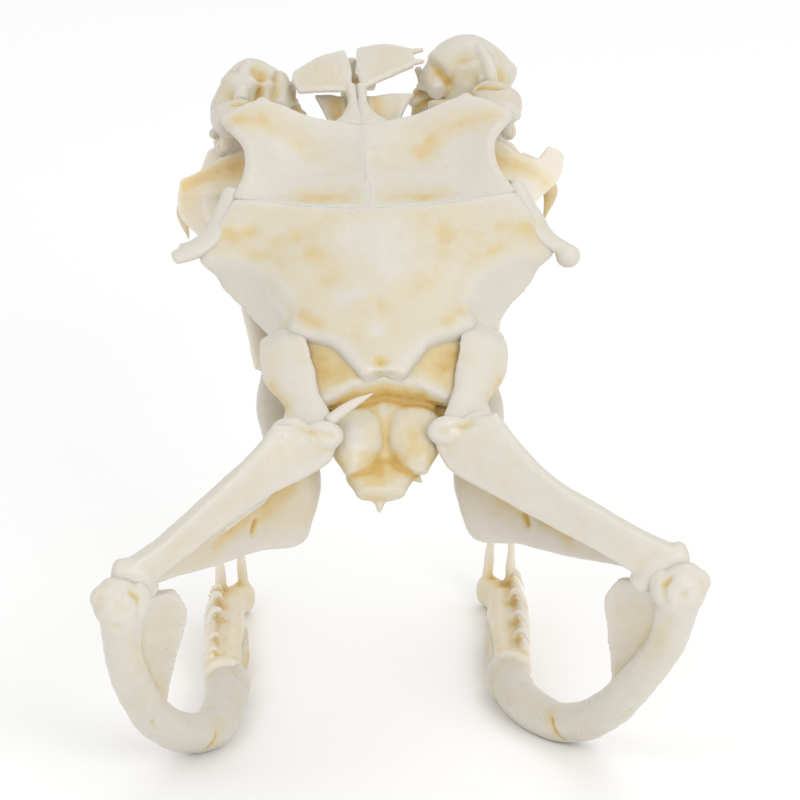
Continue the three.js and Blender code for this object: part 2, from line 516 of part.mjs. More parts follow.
function meshOf(name, solid, colour) {
  const { numProp, vertProperties, triVerts } = solid.getMesh();
  const count = vertProperties.length / numProp;
  const corners = new Float32Array(count * 3);
  for (let i = 0; i < count; i += 1) {
    corners.set(vertProperties.subarray(i * numProp, i * numProp + 3), i * 3);
  }
  const geometry = new THREE.BufferGeometry();
  geometry.setAttribute('position', new THREE.BufferAttribute(corners, 3));
  geometry.setIndex(new THREE.BufferAttribute(new Uint32Array(triVerts), 1));
  geometry.computeVertexNormals();
  const roughness = colour === ENAMEL ? 0.3 : 0.5;
  const surface = new THREE.MeshStandardMaterial({ color: colour, roughness, metalness: 0 });
  const mesh = new THREE.Mesh(geometry, surface);
  mesh.name = name;
  return mesh;
}

addBraincase();
[LEFT, RIGHT].forEach(addFrontal);
[LEFT, RIGHT].forEach(addSupratemporal);
[LEFT, RIGHT].forEach(addQuadrate);
[LEFT, RIGHT].forEach(addPostorbital);
[LEFT, RIGHT].forEach(addUpperJaw);
[LEFT, RIGHT].forEach(addSnout);
addPremaxilla();
[LEFT, RIGHT].forEach(addPterygoid);
[LEFT, RIGHT].forEach(addEctopterygoid);
addStapes();
[LEFT, RIGHT].forEach(addLowerJaw);

const model = new THREE.Group();
const floor = belowFloor();
const fitted = [];
for (const { name, colour, parts, cuts } of bones) {
  let solid = joined(parts, 0);
  for (const cut of cuts) {
    solid = solid.subtract(cut(0));
  }
  for (const earlier of fitted) {
    if (boxesMeet(solid, earlier)) {
      solid = solid.subtract(earlier);
    }
  }
  model.add(meshOf(name, largest(solid.subtract(floor)), colour));
  fitted.push(joined(parts, GAP));
}

// The origin lies on the floor under the middle of the whole skull
const box = new THREE.Box3().setFromObject(model);
model.position.set(-(box.min.x + box.max.x) / 2, -(box.min.y + box.max.y) / 2, 0);

export default model;
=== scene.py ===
"""Rattlesnake skull, dry and clean, life size, standing on its two lower jaws with the mouth open.

Shapes are worked out in millimetres around the floor point between the rear bends of the jaws, with the
snout towards +Y and the animal's left side at -X, and are set into the row frame in metres at the end.
"""
import logging
import math
from collections.abc import Sequence
from dataclasses import dataclass, field
from enum import Enum

import bpy
import numpy as np
from mathutils import Matrix


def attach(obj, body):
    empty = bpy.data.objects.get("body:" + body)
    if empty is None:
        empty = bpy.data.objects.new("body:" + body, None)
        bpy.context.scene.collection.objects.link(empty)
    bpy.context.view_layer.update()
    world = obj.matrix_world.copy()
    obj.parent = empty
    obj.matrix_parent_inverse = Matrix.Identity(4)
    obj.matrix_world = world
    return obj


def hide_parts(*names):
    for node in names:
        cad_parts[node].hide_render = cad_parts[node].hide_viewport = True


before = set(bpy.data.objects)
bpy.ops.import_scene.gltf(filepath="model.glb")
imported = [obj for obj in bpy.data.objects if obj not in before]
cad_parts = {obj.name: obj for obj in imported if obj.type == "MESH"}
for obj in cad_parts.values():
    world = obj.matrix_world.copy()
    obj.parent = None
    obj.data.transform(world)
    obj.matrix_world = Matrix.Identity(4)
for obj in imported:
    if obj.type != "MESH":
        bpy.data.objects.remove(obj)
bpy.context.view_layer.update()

Path = Sequence[np.ndarray]

# Frame: millimetres to metres, and the way in mm from the shapes' own origin to that of the row.
MM = 0.001
ROW_SHIFT = np.array([0.0, -6.185068, 0.0])

# Place of the braincase: its turn snout-up, the condyle, and the sideways shift of the midline, in mm.
PITCH = math.radians(20.0)
CONDYLE = np.array([0.0, -6.0, 18.94])
MIDLINE_SHIFT = -0.35
HEAD_HALF_WIDTH = 9.0

# Teeth: their taper as shares of the radius, the half-size of the point in mm, and the lie of the rings.
TOOTH_TAPER = (1.0, 0.78, 0.45)
TOOTH_POINT = 0.05
TOOTH_LIE = (0.31, 0.9, 0.13)

# Surface work: steps of smoothing, the hollows (whose measure is turned into painted shade), the unevenness
# (lengths in mm), and dark specks of painted shade in the pinholes.
SMOOTH_STEP = 0.6
SMOOTH_KEEP = 0.98
HOLLOW_ROUNDS = 24
HOLLOW_LIMIT = 1.3
WAVE_LENGTH = 1.3
RIPPLE_LENGTH = 0.45
RIPPLE_SHARE = 0.35
RIPPLE_SEED = 60
FINER_SIZE = 0.42
FINER_HEIGHT = 0.5
PINHOLE_SHADE = 2.6
SPECK_FROM = 1.2

log = logging.getLogger("skull")


class Side(Enum):
    """Side of the animal; its value is the sign of X there."""

    LEFT = -1
    RIGHT = 1

    @property
    def suffix(self) -> str:
        """Word that ends the names of the bones on this side."""
        return self.name.lower()


def skull(x: float, forward: float, up: float) -> np.ndarray:
    """Gives the place of a point that is measured along the braincase.

    Formula: the point is turned snout-up by the pitch about the condyle, and its X takes the small
    sideways shift of the midline, which fades out to the sides of the head.

    Args:
        x: Distance to the right of the middle, in mm.
        forward: Distance ahead of the condyle along the braincase, in mm.
        up: Height over the condyle, square to the braincase, in mm.

    Returns:
        The point in mm.
    """
    shift = MIDLINE_SHIFT * max(0.0, 1.0 - abs(x) / HEAD_HALF_WIDTH)
    ahead = forward * math.cos(PITCH) - up * math.sin(PITCH)
    rise = forward * math.sin(PITCH) + up * math.cos(PITCH)
    return CONDYLE + np.array([x + shift, ahead, rise])


@dataclass
class Form:
    """Closed surface in mm: its corners, its four-sided faces and its three-sided faces."""

    corners: np.ndarray
    quads: np.ndarray
    tris: np.ndarray


def wrap(rings: np.ndarray) -> Form:
    """Closes a stack of rings into one surface.

    Formula: neighbouring rings are joined by quads, and each end ring is closed by a fan to its centre.

    Args:
        rings: Corners, shaped rings x corners per ring x 3.

    Returns:
        The closed form.
    """
    count, around, _ = rings.shape
    row = np.arange(count - 1)[:, None] * around
    col = np.arange(around)[None, :]
    after = (col + 1) % around
    quads = np.stack([row + col, row + after, row + around + after, row + around + col], axis=-1)
    poles = np.array([rings[0].mean(axis=0), rings[-1].mean(axis=0)])
    ring = np.arange(around)
    following = (ring + 1) % around
    last = (count - 1) * around
    first_fan = np.stack([np.full(around, count * around), following, ring], axis=1)
    last_fan = np.stack([np.full(around, count * around + 1), last + ring, last + following], axis=1)
    return Form(
        np.vstack([rings.reshape(-1, 3), poles]), quads.reshape(-1, 4), np.vstack([first_fan, last_fan])
    )


def curve_through(points: np.ndarray, t: np.ndarray) -> np.ndarray:
    """Reads a smooth curve through points.

    Formula: a cubic runs from each point to the next, with slopes there that come from the points on
    either side. Its knots are spaced by the square root of the distances, and one point is added past
    each end in line with the last two.

    Args:
        points: Points along the first axis; further axes before the last one are separate curves.
        t: Places along the curve, 0 to 1, evenly shared between the points.

    Returns:
        The points of the curve, one row per value of t.
    """
    count = len(points)
    place = np.clip(t, 0.0, 1.0) * (count - 1)
    low = np.minimum(place.astype(int), count - 2)
    padded = np.concatenate([2 * points[:1] - points[1:2], points, 2 * points[-1:] - points[-2:-1]])
    before, start, end, after = (padded[low + k] for k in range(4))
    w = (place - low).reshape((-1,) + (1,) * (points.ndim - 1))

    def knot(a: np.ndarray, b: np.ndarray) -> np.ndarray:
        """Square root of the distance between two points, kept over zero."""
        return np.sqrt(np.maximum(np.linalg.norm(b - a, axis=-1, keepdims=True), 1e-4))

    d0, d1, d2 = knot(before, start), knot(start, end), knot(end, after)
    leave = ((start - before) / d0 - (end - before) / (d0 + d1) + (end - start) / d1) * d1
    arrive = ((end - start) / d1 - (after - start) / (d1 + d2) + (after - end) / d2) * d1
    return (
        (2 * w**3 - 3 * w**2 + 1) * start
        + (w**3 - 2 * w**2 + w) * leave
        + (3 * w**2 - 2 * w**3) * end
        + (w**3 - w**2) * arrive
    )


def eased(values: Sequence[float], t: np.ndarray) -> np.ndarray:
    """Reads a list of sizes as a smooth run.

    Formula: between two neighbours the value is halfway between a straight and a smooth step.

    Args:
        values: Sizes, evenly spaced from 0 to 1.
        t: Places from 0 to 1.

    Returns:
        One size per place.
    """
    listed = np.asarray(values, float)
    place = np.clip(t, 0.0, 1.0) * (len(listed) - 1)
    low = np.minimum(place.astype(int), len(listed) - 2)
    straight = place - low
    part = (straight * straight * (3 - 2 * straight) + straight) / 2
    return listed[low] * (1 - part) + listed[low + 1] * part


def unit(vectors: np.ndarray) -> np.ndarray:
    """Vectors made one long."""
    return vectors / np.maximum(np.linalg.norm(vectors, axis=-1, keepdims=True), 1e-9)


def rod(
    path: Path,
    wide: Sequence[float],
    thick: Sequence[float],
    lie: tuple[float, float, float] = (0.0, 0.0, 1.0),
    around: int = 28,
    steps: int = 40,
    square: float = 0.0,
    cap: float = 0.5,
) -> Form:
    """Makes a rod of bone along a smooth path.

    Formula: an oval ring of the eased half-sizes stands square to the path at even lengths of it, and
    both ends are rounded by rings that shrink as a cosine while they move out as a sine.

    Args:
        path: Points of the centre line in mm.
        wide: Half-sizes along the path, square to the lie.
        thick: Half-sizes along the path, in the direction of the lie.
        lie: Direction of the thickness.
        around: Corners per ring.
        steps: Lengths that the path is divided into.
        square: Share by which the ring is filled out towards its corners.
        cap: Length of the rounded ends as a share of their smaller half-size.

    Returns:
        The closed rod.
    """
    points = np.asarray(path, float)
    fine = np.linspace(0.0, 1.0, 301)  # close enough together to measure the length along the path
    line = curve_through(points, fine)
    lengths = np.concatenate([[0.0], np.cumsum(np.linalg.norm(np.diff(line, axis=0), axis=1))])
    t = np.linspace(0.0, 1.0, steps + 1)
    centre = np.stack([np.interp(t * lengths[-1], lengths, line[:, k]) for k in range(3)], axis=1)
    tangent = unit(np.gradient(centre, axis=0))
    side = unit(np.cross(tangent, np.asarray(lie, float)))
    up = unit(np.cross(side, tangent))
    half_wide, half_thick = eased(wide, t), eased(thick, t)
    turn = np.linspace(0.0, math.pi / 2, 5)[1:-1]  # three rings round off each end
    end = [cap * min(half_wide[k], half_thick[k]) for k in (0, -1)]
    pushes = np.concatenate([-np.sin(turn[::-1]) * end[0], np.zeros(steps + 1), np.sin(turn) * end[1]])
    shrink = np.concatenate([np.cos(turn[::-1]), np.ones(steps + 1), np.cos(turn)])
    index = np.concatenate([np.zeros(len(turn), int), np.arange(steps + 1), np.full(len(turn), steps)])
    angle = np.linspace(0.0, 2 * math.pi, around, endpoint=False)
    x, z = np.cos(angle), np.sin(angle)
    full = 1 + square * np.minimum(np.abs(x), np.abs(z)) / 2
    rings = (
        (centre[index] + tangent[index] * pushes[:, None])[:, None, :]
        + side[index][:, None, :] * (shrink * half_wide[index])[:, None, None] * (x * full)[None, :, None]
        + up[index][:, None, :] * (shrink * half_thick[index])[:, None, None] * (z * full)[None, :, None]
    )
    return wrap(rings)


def sheet(rows: Sequence[Path], thick: float, across: int = 36, down: int = 36, rim: float = 0.45) -> Form:
    """Makes a curved plate of bone through rows of points.

    Formula: a smooth curve through each row is read at u, and a smooth curve down those points at v; half
    the thickness stands on either side, thinner near the rim by a root of the distance from it.

    Args:
        rows: Rows of points in mm, all of the same length.
        thick: Thickness in mm.
        across: Steps along a row.
        down: Steps down the rows.
        rim: Share of the thickness that is left at the very rim.

    Returns:
        The closed plate.
    """
    crowd, thinned = 0.35, 0.06  # crowding of the steps towards the rim, and width of the thinner rim
    u, v = (
        (1 - np.cos(np.linspace(0.0, math.pi, steps + 1))) / 2 * crowd
        + np.linspace(0, 1, steps + 1) * (1 - crowd)
        for steps in (across, down)
    )
    lines = np.stack([curve_through(np.asarray(row, float), u) for row in rows])
    face = curve_through(lines, v)
    normal = unit(np.cross(np.gradient(face, axis=1), np.gradient(face, axis=0)))
    edge = np.minimum(np.minimum(u, 1 - u)[None, :], np.minimum(v, 1 - v)[:, None])
    share = rim + (1 - rim) * np.sqrt(np.clip(edge / thinned, 0.0, 1.0))
    half = normal * (share * thick / 2)[..., None]
    rings = np.concatenate([face + half, (face - half)[:, ::-1]], axis=1)
    return wrap(rings)


def lump(centre: np.ndarray, sizes: tuple[float, float, float]) -> Form:
    """Makes a rounded lump.

    Formula: eleven rings of a ball, of 24 corners each, are stretched to three half-sizes.

    Args:
        centre: Middle of the lump in mm.
        sizes: Half-sizes along X, Y and Z.

    Returns:
        The closed lump.
    """
    polar = np.linspace(0.0, math.pi, 13)[1:-1]
    angle = np.linspace(0.0, 2 * math.pi, 24, endpoint=False)
    rings = np.stack([
        np.sin(polar)[:, None] * np.cos(angle)[None, :] * sizes[0],
        np.sin(polar)[:, None] * np.sin(angle)[None, :] * sizes[1],
        np.cos(polar)[:, None] * np.ones_like(angle)[None, :] * sizes[2],
    ], axis=-1)
    return wrap(rings + centre)


def tooth(root: np.ndarray, middle: np.ndarray, tip: np.ndarray, radius: float) -> Form:
    """Makes a curved tooth.

    Formula: a round rod along the curve through three points, which thins to a point.

    Args:
        root: Start of the tooth, inside its bone.
        middle: Point on its way.
        tip: Its point.
        radius: Half-size at the root, in mm.

    Returns:
        The closed tooth.
    """
    sizes = [*(radius * share for share in TOOTH_TAPER), TOOTH_POINT]
    points = curve_through(np.stack([root, middle, tip]), np.linspace(0.0, 1.0, 4))
    return rod(points, sizes, sizes, lie=TOOTH_LIE, around=14, steps=18)


@dataclass(frozen=True)
class Mark:
    """Hollow (depth over zero) or ridge (under zero) along a path, in mm, with the colour it holds: mostly
    real staining, with painted shade in the marks whose comments say so.
    """

    path: Path
    radius: float
    depth: float
    stain: float = 0.0


def lattice_noise(points: np.ndarray, size: float, seed: int) -> np.ndarray:
    """Gives smooth random values over space.

    Formula: every corner of a cubic lattice holds a hashed value from -1 to 1, and a point takes the
    smooth blend of the eight corners round it.

    Args:
        points: Places, in mm.
        size: Lattice width, in mm.
        seed: Number that picks the pattern.

    Returns:
        One value per point.
    """
    primes, mixer, seed_step = (73856093, 19349663, 83492791), 1274126177, 17.31
    scaled = points / size + seed * seed_step
    cell = np.floor(scaled).astype(np.int64)
    part = scaled - cell
    part = part * part * (3 - 2 * part)
    total = np.zeros(len(points))
    for dx in (0, 1):
        for dy in (0, 1):
            for dz in (0, 1):
                corner = (cell + (dx, dy, dz)) * primes
                mixed = corner[:, 0] ^ corner[:, 1] ^ corner[:, 2]
                mixed = (mixed ^ (mixed >> 13)) * mixer & 0x7FFFFFFF
                value = (mixed ^ (mixed >> 16)) % 65536 / 32767.5 - 1
                weight = (
                    (part[:, 0] if dx else 1 - part[:, 0])
                    * (part[:, 1] if dy else 1 - part[:, 1])
                    * (part[:, 2] if dz else 1 - part[:, 2])
                )
                total += value * weight
    return total


def distance_to(points: np.ndarray, path: Path) -> np.ndarray:
    """Measures how far points are from a path.

    Formula: each point is set square onto every straight length, held to its ends, and the nearest of
    these places counts.

    Args:
        points: Places, in mm.
        path: Ends of the straight lengths of the path, or its one point.

    Returns:
        The shortest distance of each point.
    """
    if len(path) == 1:
        return np.linalg.norm(points - path[0], axis=1)
    best = np.full(len(points), np.inf)
    for start, end in zip(path[:-1], path[1:]):
        along = end - start
        share = np.clip((points - start) @ along / (along @ along), 0.0, 1.0)
        best = np.minimum(best, np.linalg.norm(points - start - share[:, None] * along, axis=1))
    return best


class BoneSurface:
    """Fused surface of one bone, worked on as whole arrays."""

    def __init__(self, name: str, forms: list[Form], voxel: float) -> None:
        """Fuses the forms by a voxel remesh.

        Args:
            name: Name of the bone.
            forms: Closed forms that overlap one another.
            voxel: Size of the voxels in mm.
        """
        starts = np.cumsum([0] + [len(form.corners) for form in forms[:-1]])
        corners = np.vstack([form.corners for form in forms])
        faces = [face for form, first in zip(forms, starts) for face in (form.quads + first).tolist()]
        faces += [face for form, first in zip(forms, starts) for face in (form.tris + first).tolist()]
        rough = bpy.data.meshes.new(name + "_rough")
        rough.from_pydata(corners.tolist(), [], faces)
        holder = bpy.data.objects.new(name + "_rough", rough)
        bpy.context.scene.collection.objects.link(holder)
        fuse = holder.modifiers.new("fuse", "REMESH")
        fuse.mode = "VOXEL"
        fuse.voxel_size = voxel
        evaluated = holder.evaluated_get(bpy.context.evaluated_depsgraph_get())
        self.mesh = bpy.data.meshes.new_from_object(evaluated)
        self.mesh.name = name
        bpy.data.objects.remove(holder)
        bpy.data.meshes.remove(rough)
        self.voxel = voxel
        self.points = self._read(self.mesh.vertices, "co", 3, np.float32).astype(float)
        self.edges = self._read(self.mesh.edges, "vertices", 2, np.int32)
        self.neighbours = np.maximum(np.bincount(self.edges.ravel(), minlength=len(self.points)), 1)
        self.stain = np.zeros(len(self.points))
        self.hollow = np.zeros(len(self.points))

    @staticmethod
    def _read(items: bpy.types.bpy_prop_collection, key: str, width: int, kind: type) -> np.ndarray:
        """Reads one property of all items.

        Args:
            items: Vertices, edges or normals of a mesh.
            key: Name of the property.
            width: Numbers per item.
            kind: Type of the numbers.

        Returns:
            One row per item.
        """
        values = np.zeros(len(items) * width, kind)
        items.foreach_get(key, values)
        return values.reshape(-1, width)

    def _mean_of_neighbours(self, points: np.ndarray) -> np.ndarray:
        """Averages the places of the points that share an edge with each point.

        Args:
            points: One row per point.

        Returns:
            One mean place per point.
        """
        a, b = self.edges[:, 0], self.edges[:, 1]
        count = len(points)
        total = np.stack([
            np.bincount(a, weights=points[b, k], minlength=count)
            + np.bincount(b, weights=points[a, k], minlength=count)
            for k in range(points.shape[1])
        ], axis=1)
        return total / self.neighbours[:, None]

    def smooth(self, rounds: int) -> None:
        """Smooths the surface without shrinking it.

        Formula: each point steps a share of the way towards its neighbours' mean, then nearly as far back.

        Args:
            rounds: How often both steps are made.
        """
        for _ in range(rounds):
            self.points += SMOOTH_STEP * (self._mean_of_neighbours(self.points) - self.points)
            self.points -= SMOOTH_STEP * SMOOTH_KEEP * (self._mean_of_neighbours(self.points) - self.points)

    def normals(self) -> np.ndarray:
        """Gives the mesh its points and reads its normals.

        Returns:
            The outward normal of each point.
        """
        self.mesh.vertices.foreach_set("co", self.points.astype(np.float32).ravel())
        self.mesh.update()
        return self._read(self.mesh.vertex_normals, "vector", 3, np.float32).astype(float)

    def carve(self, marks: list[Mark]) -> None:
        """Presses the marks into the surface.

        Formula: each point moves by the mark's depth times a bell curve of its distance from the path.

        Args:
            marks: Hollows and ridges, in order.
        """
        for mark in marks:
            weight = np.exp(-(distance_to(self.points, mark.path) / mark.radius) ** 2)
            self.points -= self.normals() * (mark.depth * weight)[:, None]
            self.stain += mark.stain * weight

    def find_hollows(self) -> None:
        """Measures how hollow each place is, for the painted shade that darkens hollows and pales the places
        that stand proud.

        Formula: how far a smoothed copy stands out of the surface there, in voxels and within limits.
        """
        soft = self.points.copy()
        for _ in range(HOLLOW_ROUNDS):
            soft = self._mean_of_neighbours(soft)
        depth = ((soft - self.points) * self.normals()).sum(axis=1) / self.voxel
        self.hollow = np.clip(depth, -HOLLOW_LIMIT, HOLLOW_LIMIT)

    def roughen(self, height: float, size: float, seed: int) -> None:
        """Moves the surface along its normals by smooth random noise.

        Formula: noise of one size, plus a share of noise of a finer size.

        Args:
            height: Height of the coarser noise, in mm.
            size: Its lattice width, in mm.
            seed: Number that picks the pattern.
        """
        coarse = lattice_noise(self.points, size, seed)
        finer = lattice_noise(self.points, size * FINER_SIZE, seed + 1)
        self.points += self.normals() * (height * (coarse + FINER_HEIGHT * finer))[:, None]

    def finished(self) -> bpy.types.Mesh:
        """Sets the mesh into the row frame in metres, with its stain and hollow as attributes.

        Returns:
            The finished mesh.
        """
        placed = (self.points + ROW_SHIFT) * MM
        placed[:, 2] = np.maximum(placed[:, 2], 0.0)
        self.mesh.vertices.foreach_set("co", placed.astype(np.float32).ravel())
        for key, values in (("stain", self.stain), ("hollow", self.hollow)):
            layer = self.mesh.attributes.new(key, "FLOAT", "POINT")
            layer.data.foreach_set("value", values.astype(np.float32))
        self.mesh.polygons.foreach_set("use_smooth", np.ones(len(self.mesh.polygons), bool))
        self.mesh.update()
        return self.mesh


@dataclass(frozen=True)
class BoneFinish:
    """Dry bone, satin to glossy: honey-coloured in its stains, with painted shade that darkens it in hollows
    and leaves it pale where it stands proud.

    The colours follow one another at the stops, along the sum of staining and painted shade. The scales are
    those of the noise per metre. The relief and the scattering are heights and depths in metres.
    """

    label: str
    pale: tuple[float, float, float] = (0.615, 0.58, 0.51)
    ivory: tuple[float, float, float] = (0.605, 0.55, 0.42)
    honey: tuple[float, float, float] = (0.60, 0.475, 0.25)
    golden: tuple[float, float, float] = (0.55, 0.36, 0.10)
    brown: tuple[float, float, float] = (0.16, 0.07, 0.02)
    stain_bias: float = 0.0
    roughness: float = 0.38
    translucency: float = 0.2
    cloud_scale: float = 230.0
    mottle_scale: float = 900.0
    grain_scale: float = 5200.0
    stain_base: float = 0.3
    # share of the hollow measure that is added to the colour as painted shade
    hollow_shade_weight: float = 0.3
    cloud_weight: float = 0.7
    mottle_weight: float = 0.3
    stain_cap: float = 0.9
    stops: tuple[float, ...] = (0.0, 0.32, 0.62, 0.88, 1.0)
    gloss_spread: float = 0.5
    relief_mottle: float = 1.6
    relief_strength: float = 0.35
    relief_height: float = 0.00006
    scatter_colour: tuple[float, float, float] = (1.0, 0.72, 0.42)
    scatter_depth: float = 0.0009

    def material(self) -> bpy.types.Material:
        """Builds the node material.

        Formula: the colour level = base + bias + the piece's own staining and painted shade + the hollow
        measure as painted shade + two sizes of noise, held under the cap except in the pinholes' dark specks
        of painted shade; pale, ivory, honey, golden and brown follow one another along it. Fine noise tilts
        the surface, and the mottle varies the gloss.

        Returns:
            The material.
        """
        material = bpy.data.materials.new(self.label)
        material.use_nodes = True
        nodes, links = material.node_tree.nodes, material.node_tree.links
        nodes.clear()

        def math_node(kind: str, a: object, b: object, clamp: bool = False) -> bpy.types.NodeSocket:
            """Adds a Math node.

            Args:
                kind: Its operation.
                a: First socket or number.
                b: Second socket or number.
                clamp: True to keep the result from 0 to 1.

            Returns:
                The socket of its result.
            """
            node = nodes.new("ShaderNodeMath")
            node.operation = kind
            node.use_clamp = clamp
            for slot, value in zip(node.inputs, (a, b)):
                if isinstance(value, (int, float)):
                    slot.default_value = value
                else:
                    links.new(value, slot)
            return node.outputs[0]

        def attribute(name: str) -> bpy.types.NodeSocket:
            """Adds an Attribute node.

            Args:
                name: Name of the attribute.

            Returns:
                The socket of its value.
            """
            node = nodes.new("ShaderNodeAttribute")
            node.attribute_name = name
            return node.outputs["Fac"]

        place = nodes.new("ShaderNodeTexCoord").outputs["Object"]

        def noise(per_metre: float, detail: float) -> bpy.types.NodeSocket:
            """Adds a Noise Texture on the object's own place.

            Args:
                per_metre: Its scale.
                detail: Its number of finer layers.

            Returns:
                The socket of its value.
            """
            node = nodes.new("ShaderNodeTexNoise")
            node.inputs["Scale"].default_value = per_metre
            node.inputs["Detail"].default_value = detail
            links.new(place, node.inputs["Vector"])
            return node.outputs["Fac"]

        clouds = math_node("SUBTRACT", noise(self.cloud_scale, 3.0), 0.5)
        mottle = math_node("SUBTRACT", noise(self.mottle_scale, 4.0), 0.5)
        grain = noise(self.grain_scale, 2.0)
        # Painted shade: the hollow measure darkens hollows towards honey and pales the places that stand
        # proud.
        hollow = math_node("MULTIPLY", attribute("hollow"), self.hollow_shade_weight)
        # Sum of real staining and painted shade that picks the colour along the ramp.
        stain_and_shade_level = math_node("ADD", attribute("stain"), hollow)
        stain_and_shade_level = math_node("ADD", stain_and_shade_level, math_node("MULTIPLY", clouds, self.cloud_weight))
        stain_and_shade_level = math_node("ADD", stain_and_shade_level, math_node("MULTIPLY", mottle, self.mottle_weight))
        stain_and_shade_level = math_node("ADD", stain_and_shade_level, self.stain_base + self.stain_bias, clamp=True)
        # Painted shade: places whose colour value passes SPECK_FROM, the pinholes, go full brown for the
        # shade inside them.
        strong = math_node("GREATER_THAN", attribute("stain"), SPECK_FROM)
        stain_and_shade_level = math_node("MAXIMUM", math_node("MINIMUM", stain_and_shade_level, self.stain_cap), strong)

        ramp = nodes.new("ShaderNodeValToRGB")
        ramp.color_ramp.interpolation = "EASE"
        colours = (self.pale, self.ivory, self.honey, self.golden, self.brown)
        for index, (where, colour) in enumerate(zip(self.stops, colours)):
            element = ramp.color_ramp.elements[index] if index < 2 else ramp.color_ramp.elements.new(where)
            element.position = where
            element.color = (*colour, 1.0)
        links.new(stain_and_shade_level, ramp.inputs["Fac"])

        tilt = nodes.new("ShaderNodeBump")
        tilt.inputs["Strength"].default_value = self.relief_strength
        tilt.inputs["Distance"].default_value = self.relief_height
        relief = math_node("ADD", grain, math_node("MULTIPLY", mottle, self.relief_mottle))
        links.new(relief, tilt.inputs["Height"])

        spread = math_node("MULTIPLY", mottle, self.gloss_spread)
        gloss = math_node("ADD", self.roughness, spread, clamp=True)
        surface = nodes.new("ShaderNodeBsdfPrincipled")
        surface.inputs["IOR"].default_value = 1.5
        surface.inputs["Subsurface Weight"].default_value = self.translucency
        surface.inputs["Subsurface Radius"].default_value = self.scatter_colour
        surface.inputs["Subsurface Scale"].default_value = self.scatter_depth
        links.new(ramp.outputs["Color"], surface.inputs["Base Color"])
        links.new(gloss, surface.inputs["Roughness"])
        links.new(tilt.outputs["Normal"], surface.inputs["Normal"])
        output = nodes.new("ShaderNodeOutputMaterial")
        links.new(surface.outputs["BSDF"], output.inputs["Surface"])
        return material


IVORY_BONE = BoneFinish("ivory bone")
PALE_BONE = BoneFinish("pale bone", stain_bias=-0.14)
THIN_BONE = BoneFinish("thin pale bone", stain_bias=-0.08, roughness=0.3, translucency=0.35)
# Painted light: a brighter copy of the bone colours, which lifts the ectopterygoids and the dentaries out of
# the shade they sit in between other parts.
SHADE_LIFTED_BONE = BoneFinish(
    "bone lifted against shade", pale=(0.74, 0.69, 0.59), ivory=(0.73, 0.65, 0.48), honey=(0.70, 0.55, 0.29),
    translucency=0.3,
)
STAINED_BONE = BoneFinish("honey-stained bone", stain_bias=0.22)
FANG_ENAMEL = BoneFinish(
    "tooth enamel", pale=(0.72, 0.69, 0.61), ivory=(0.68, 0.61, 0.46), roughness=0.22
)


class Slot(Enum):
    """Names of material slots; each bone carries one, though nothing in this script reads it."""

    IVORY = "ivory_bone"
    STAINED = "stained_bone"
    FANG = "fang_enamel"


@dataclass
class Bone:
    """One bone: its name, the forms it is fused from, the marks pressed in, and its finish."""

    name: str
    forms: list[Form]
    marks: list[Mark] = field(default_factory=list)
    finish: BoneFinish = IVORY_BONE
    slot: Slot = Slot.IVORY
    voxel: float = 0.12
    rounds: int = 5
    wave: float = 0.035


class Workshop:
    """Turns bones into finished pieces that stand for their nodes, and keeps one material per finish."""

    def __init__(self) -> None:
        """Starts with no material made."""
        self.materials: dict[str, bpy.types.Material] = {}
        self.made = 0

    def material(self, finish: BoneFinish) -> bpy.types.Material:
        """Gives the material of a finish, built the first time it is asked for.

        Args:
            finish: The finish.

        Returns:
            Its one material.
        """
        if finish.label not in self.materials:
            self.materials[finish.label] = finish.material()
        return self.materials[finish.label]

    def make(self, bone: Bone) -> bpy.types.Object:
        """Builds one bone and puts it in place of its node.

        Args:
            bone: The bone to build.

        Returns:
            The finished piece.
        """
        surface = BoneSurface(bone.name, bone.forms, bone.voxel)
        surface.smooth(bone.rounds)
        surface.carve(bone.marks)
        surface.roughen(bone.wave, WAVE_LENGTH, seed=self.made)
        surface.roughen(bone.wave * RIPPLE_SHARE, RIPPLE_LENGTH, seed=self.made + RIPPLE_SEED)
        surface.find_hollows()
        mesh = surface.finished()
        piece = bpy.data.objects.new(bone.name + "_bone", mesh)
        bpy.context.scene.collection.objects.link(piece)
        piece.data.materials.append(self.material(bone.finish))
        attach(piece, "root")
        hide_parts(bone.name)
        self.made += 1
        log.info("%s: %d corners, %d faces", bone.name, len(mesh.vertices), len(mesh.polygons))
        return piece


@dataclass
class SidePart:
    """What the paired parts of the skull share: their side and the two ways of measuring on it.

    Where a bone is made, p stands for its way of measuring, and w for places over the floor.
    """

    side: Side

    def named(self, bone: str) -> str:
        """Name of this side's bone."""
        return f"{bone}_{self.side.suffix}"

    def head(self, x: float, forward: float, up: float) -> np.ndarray:
        """Point of this side, measured along the braincase."""
        return skull(self.side.value * x, forward, up)

    def floor(self, x: float, y: float, z: float) -> np.ndarray:
        """Point of this side over the floor."""
        return np.array([self.side.value * x, y, z])


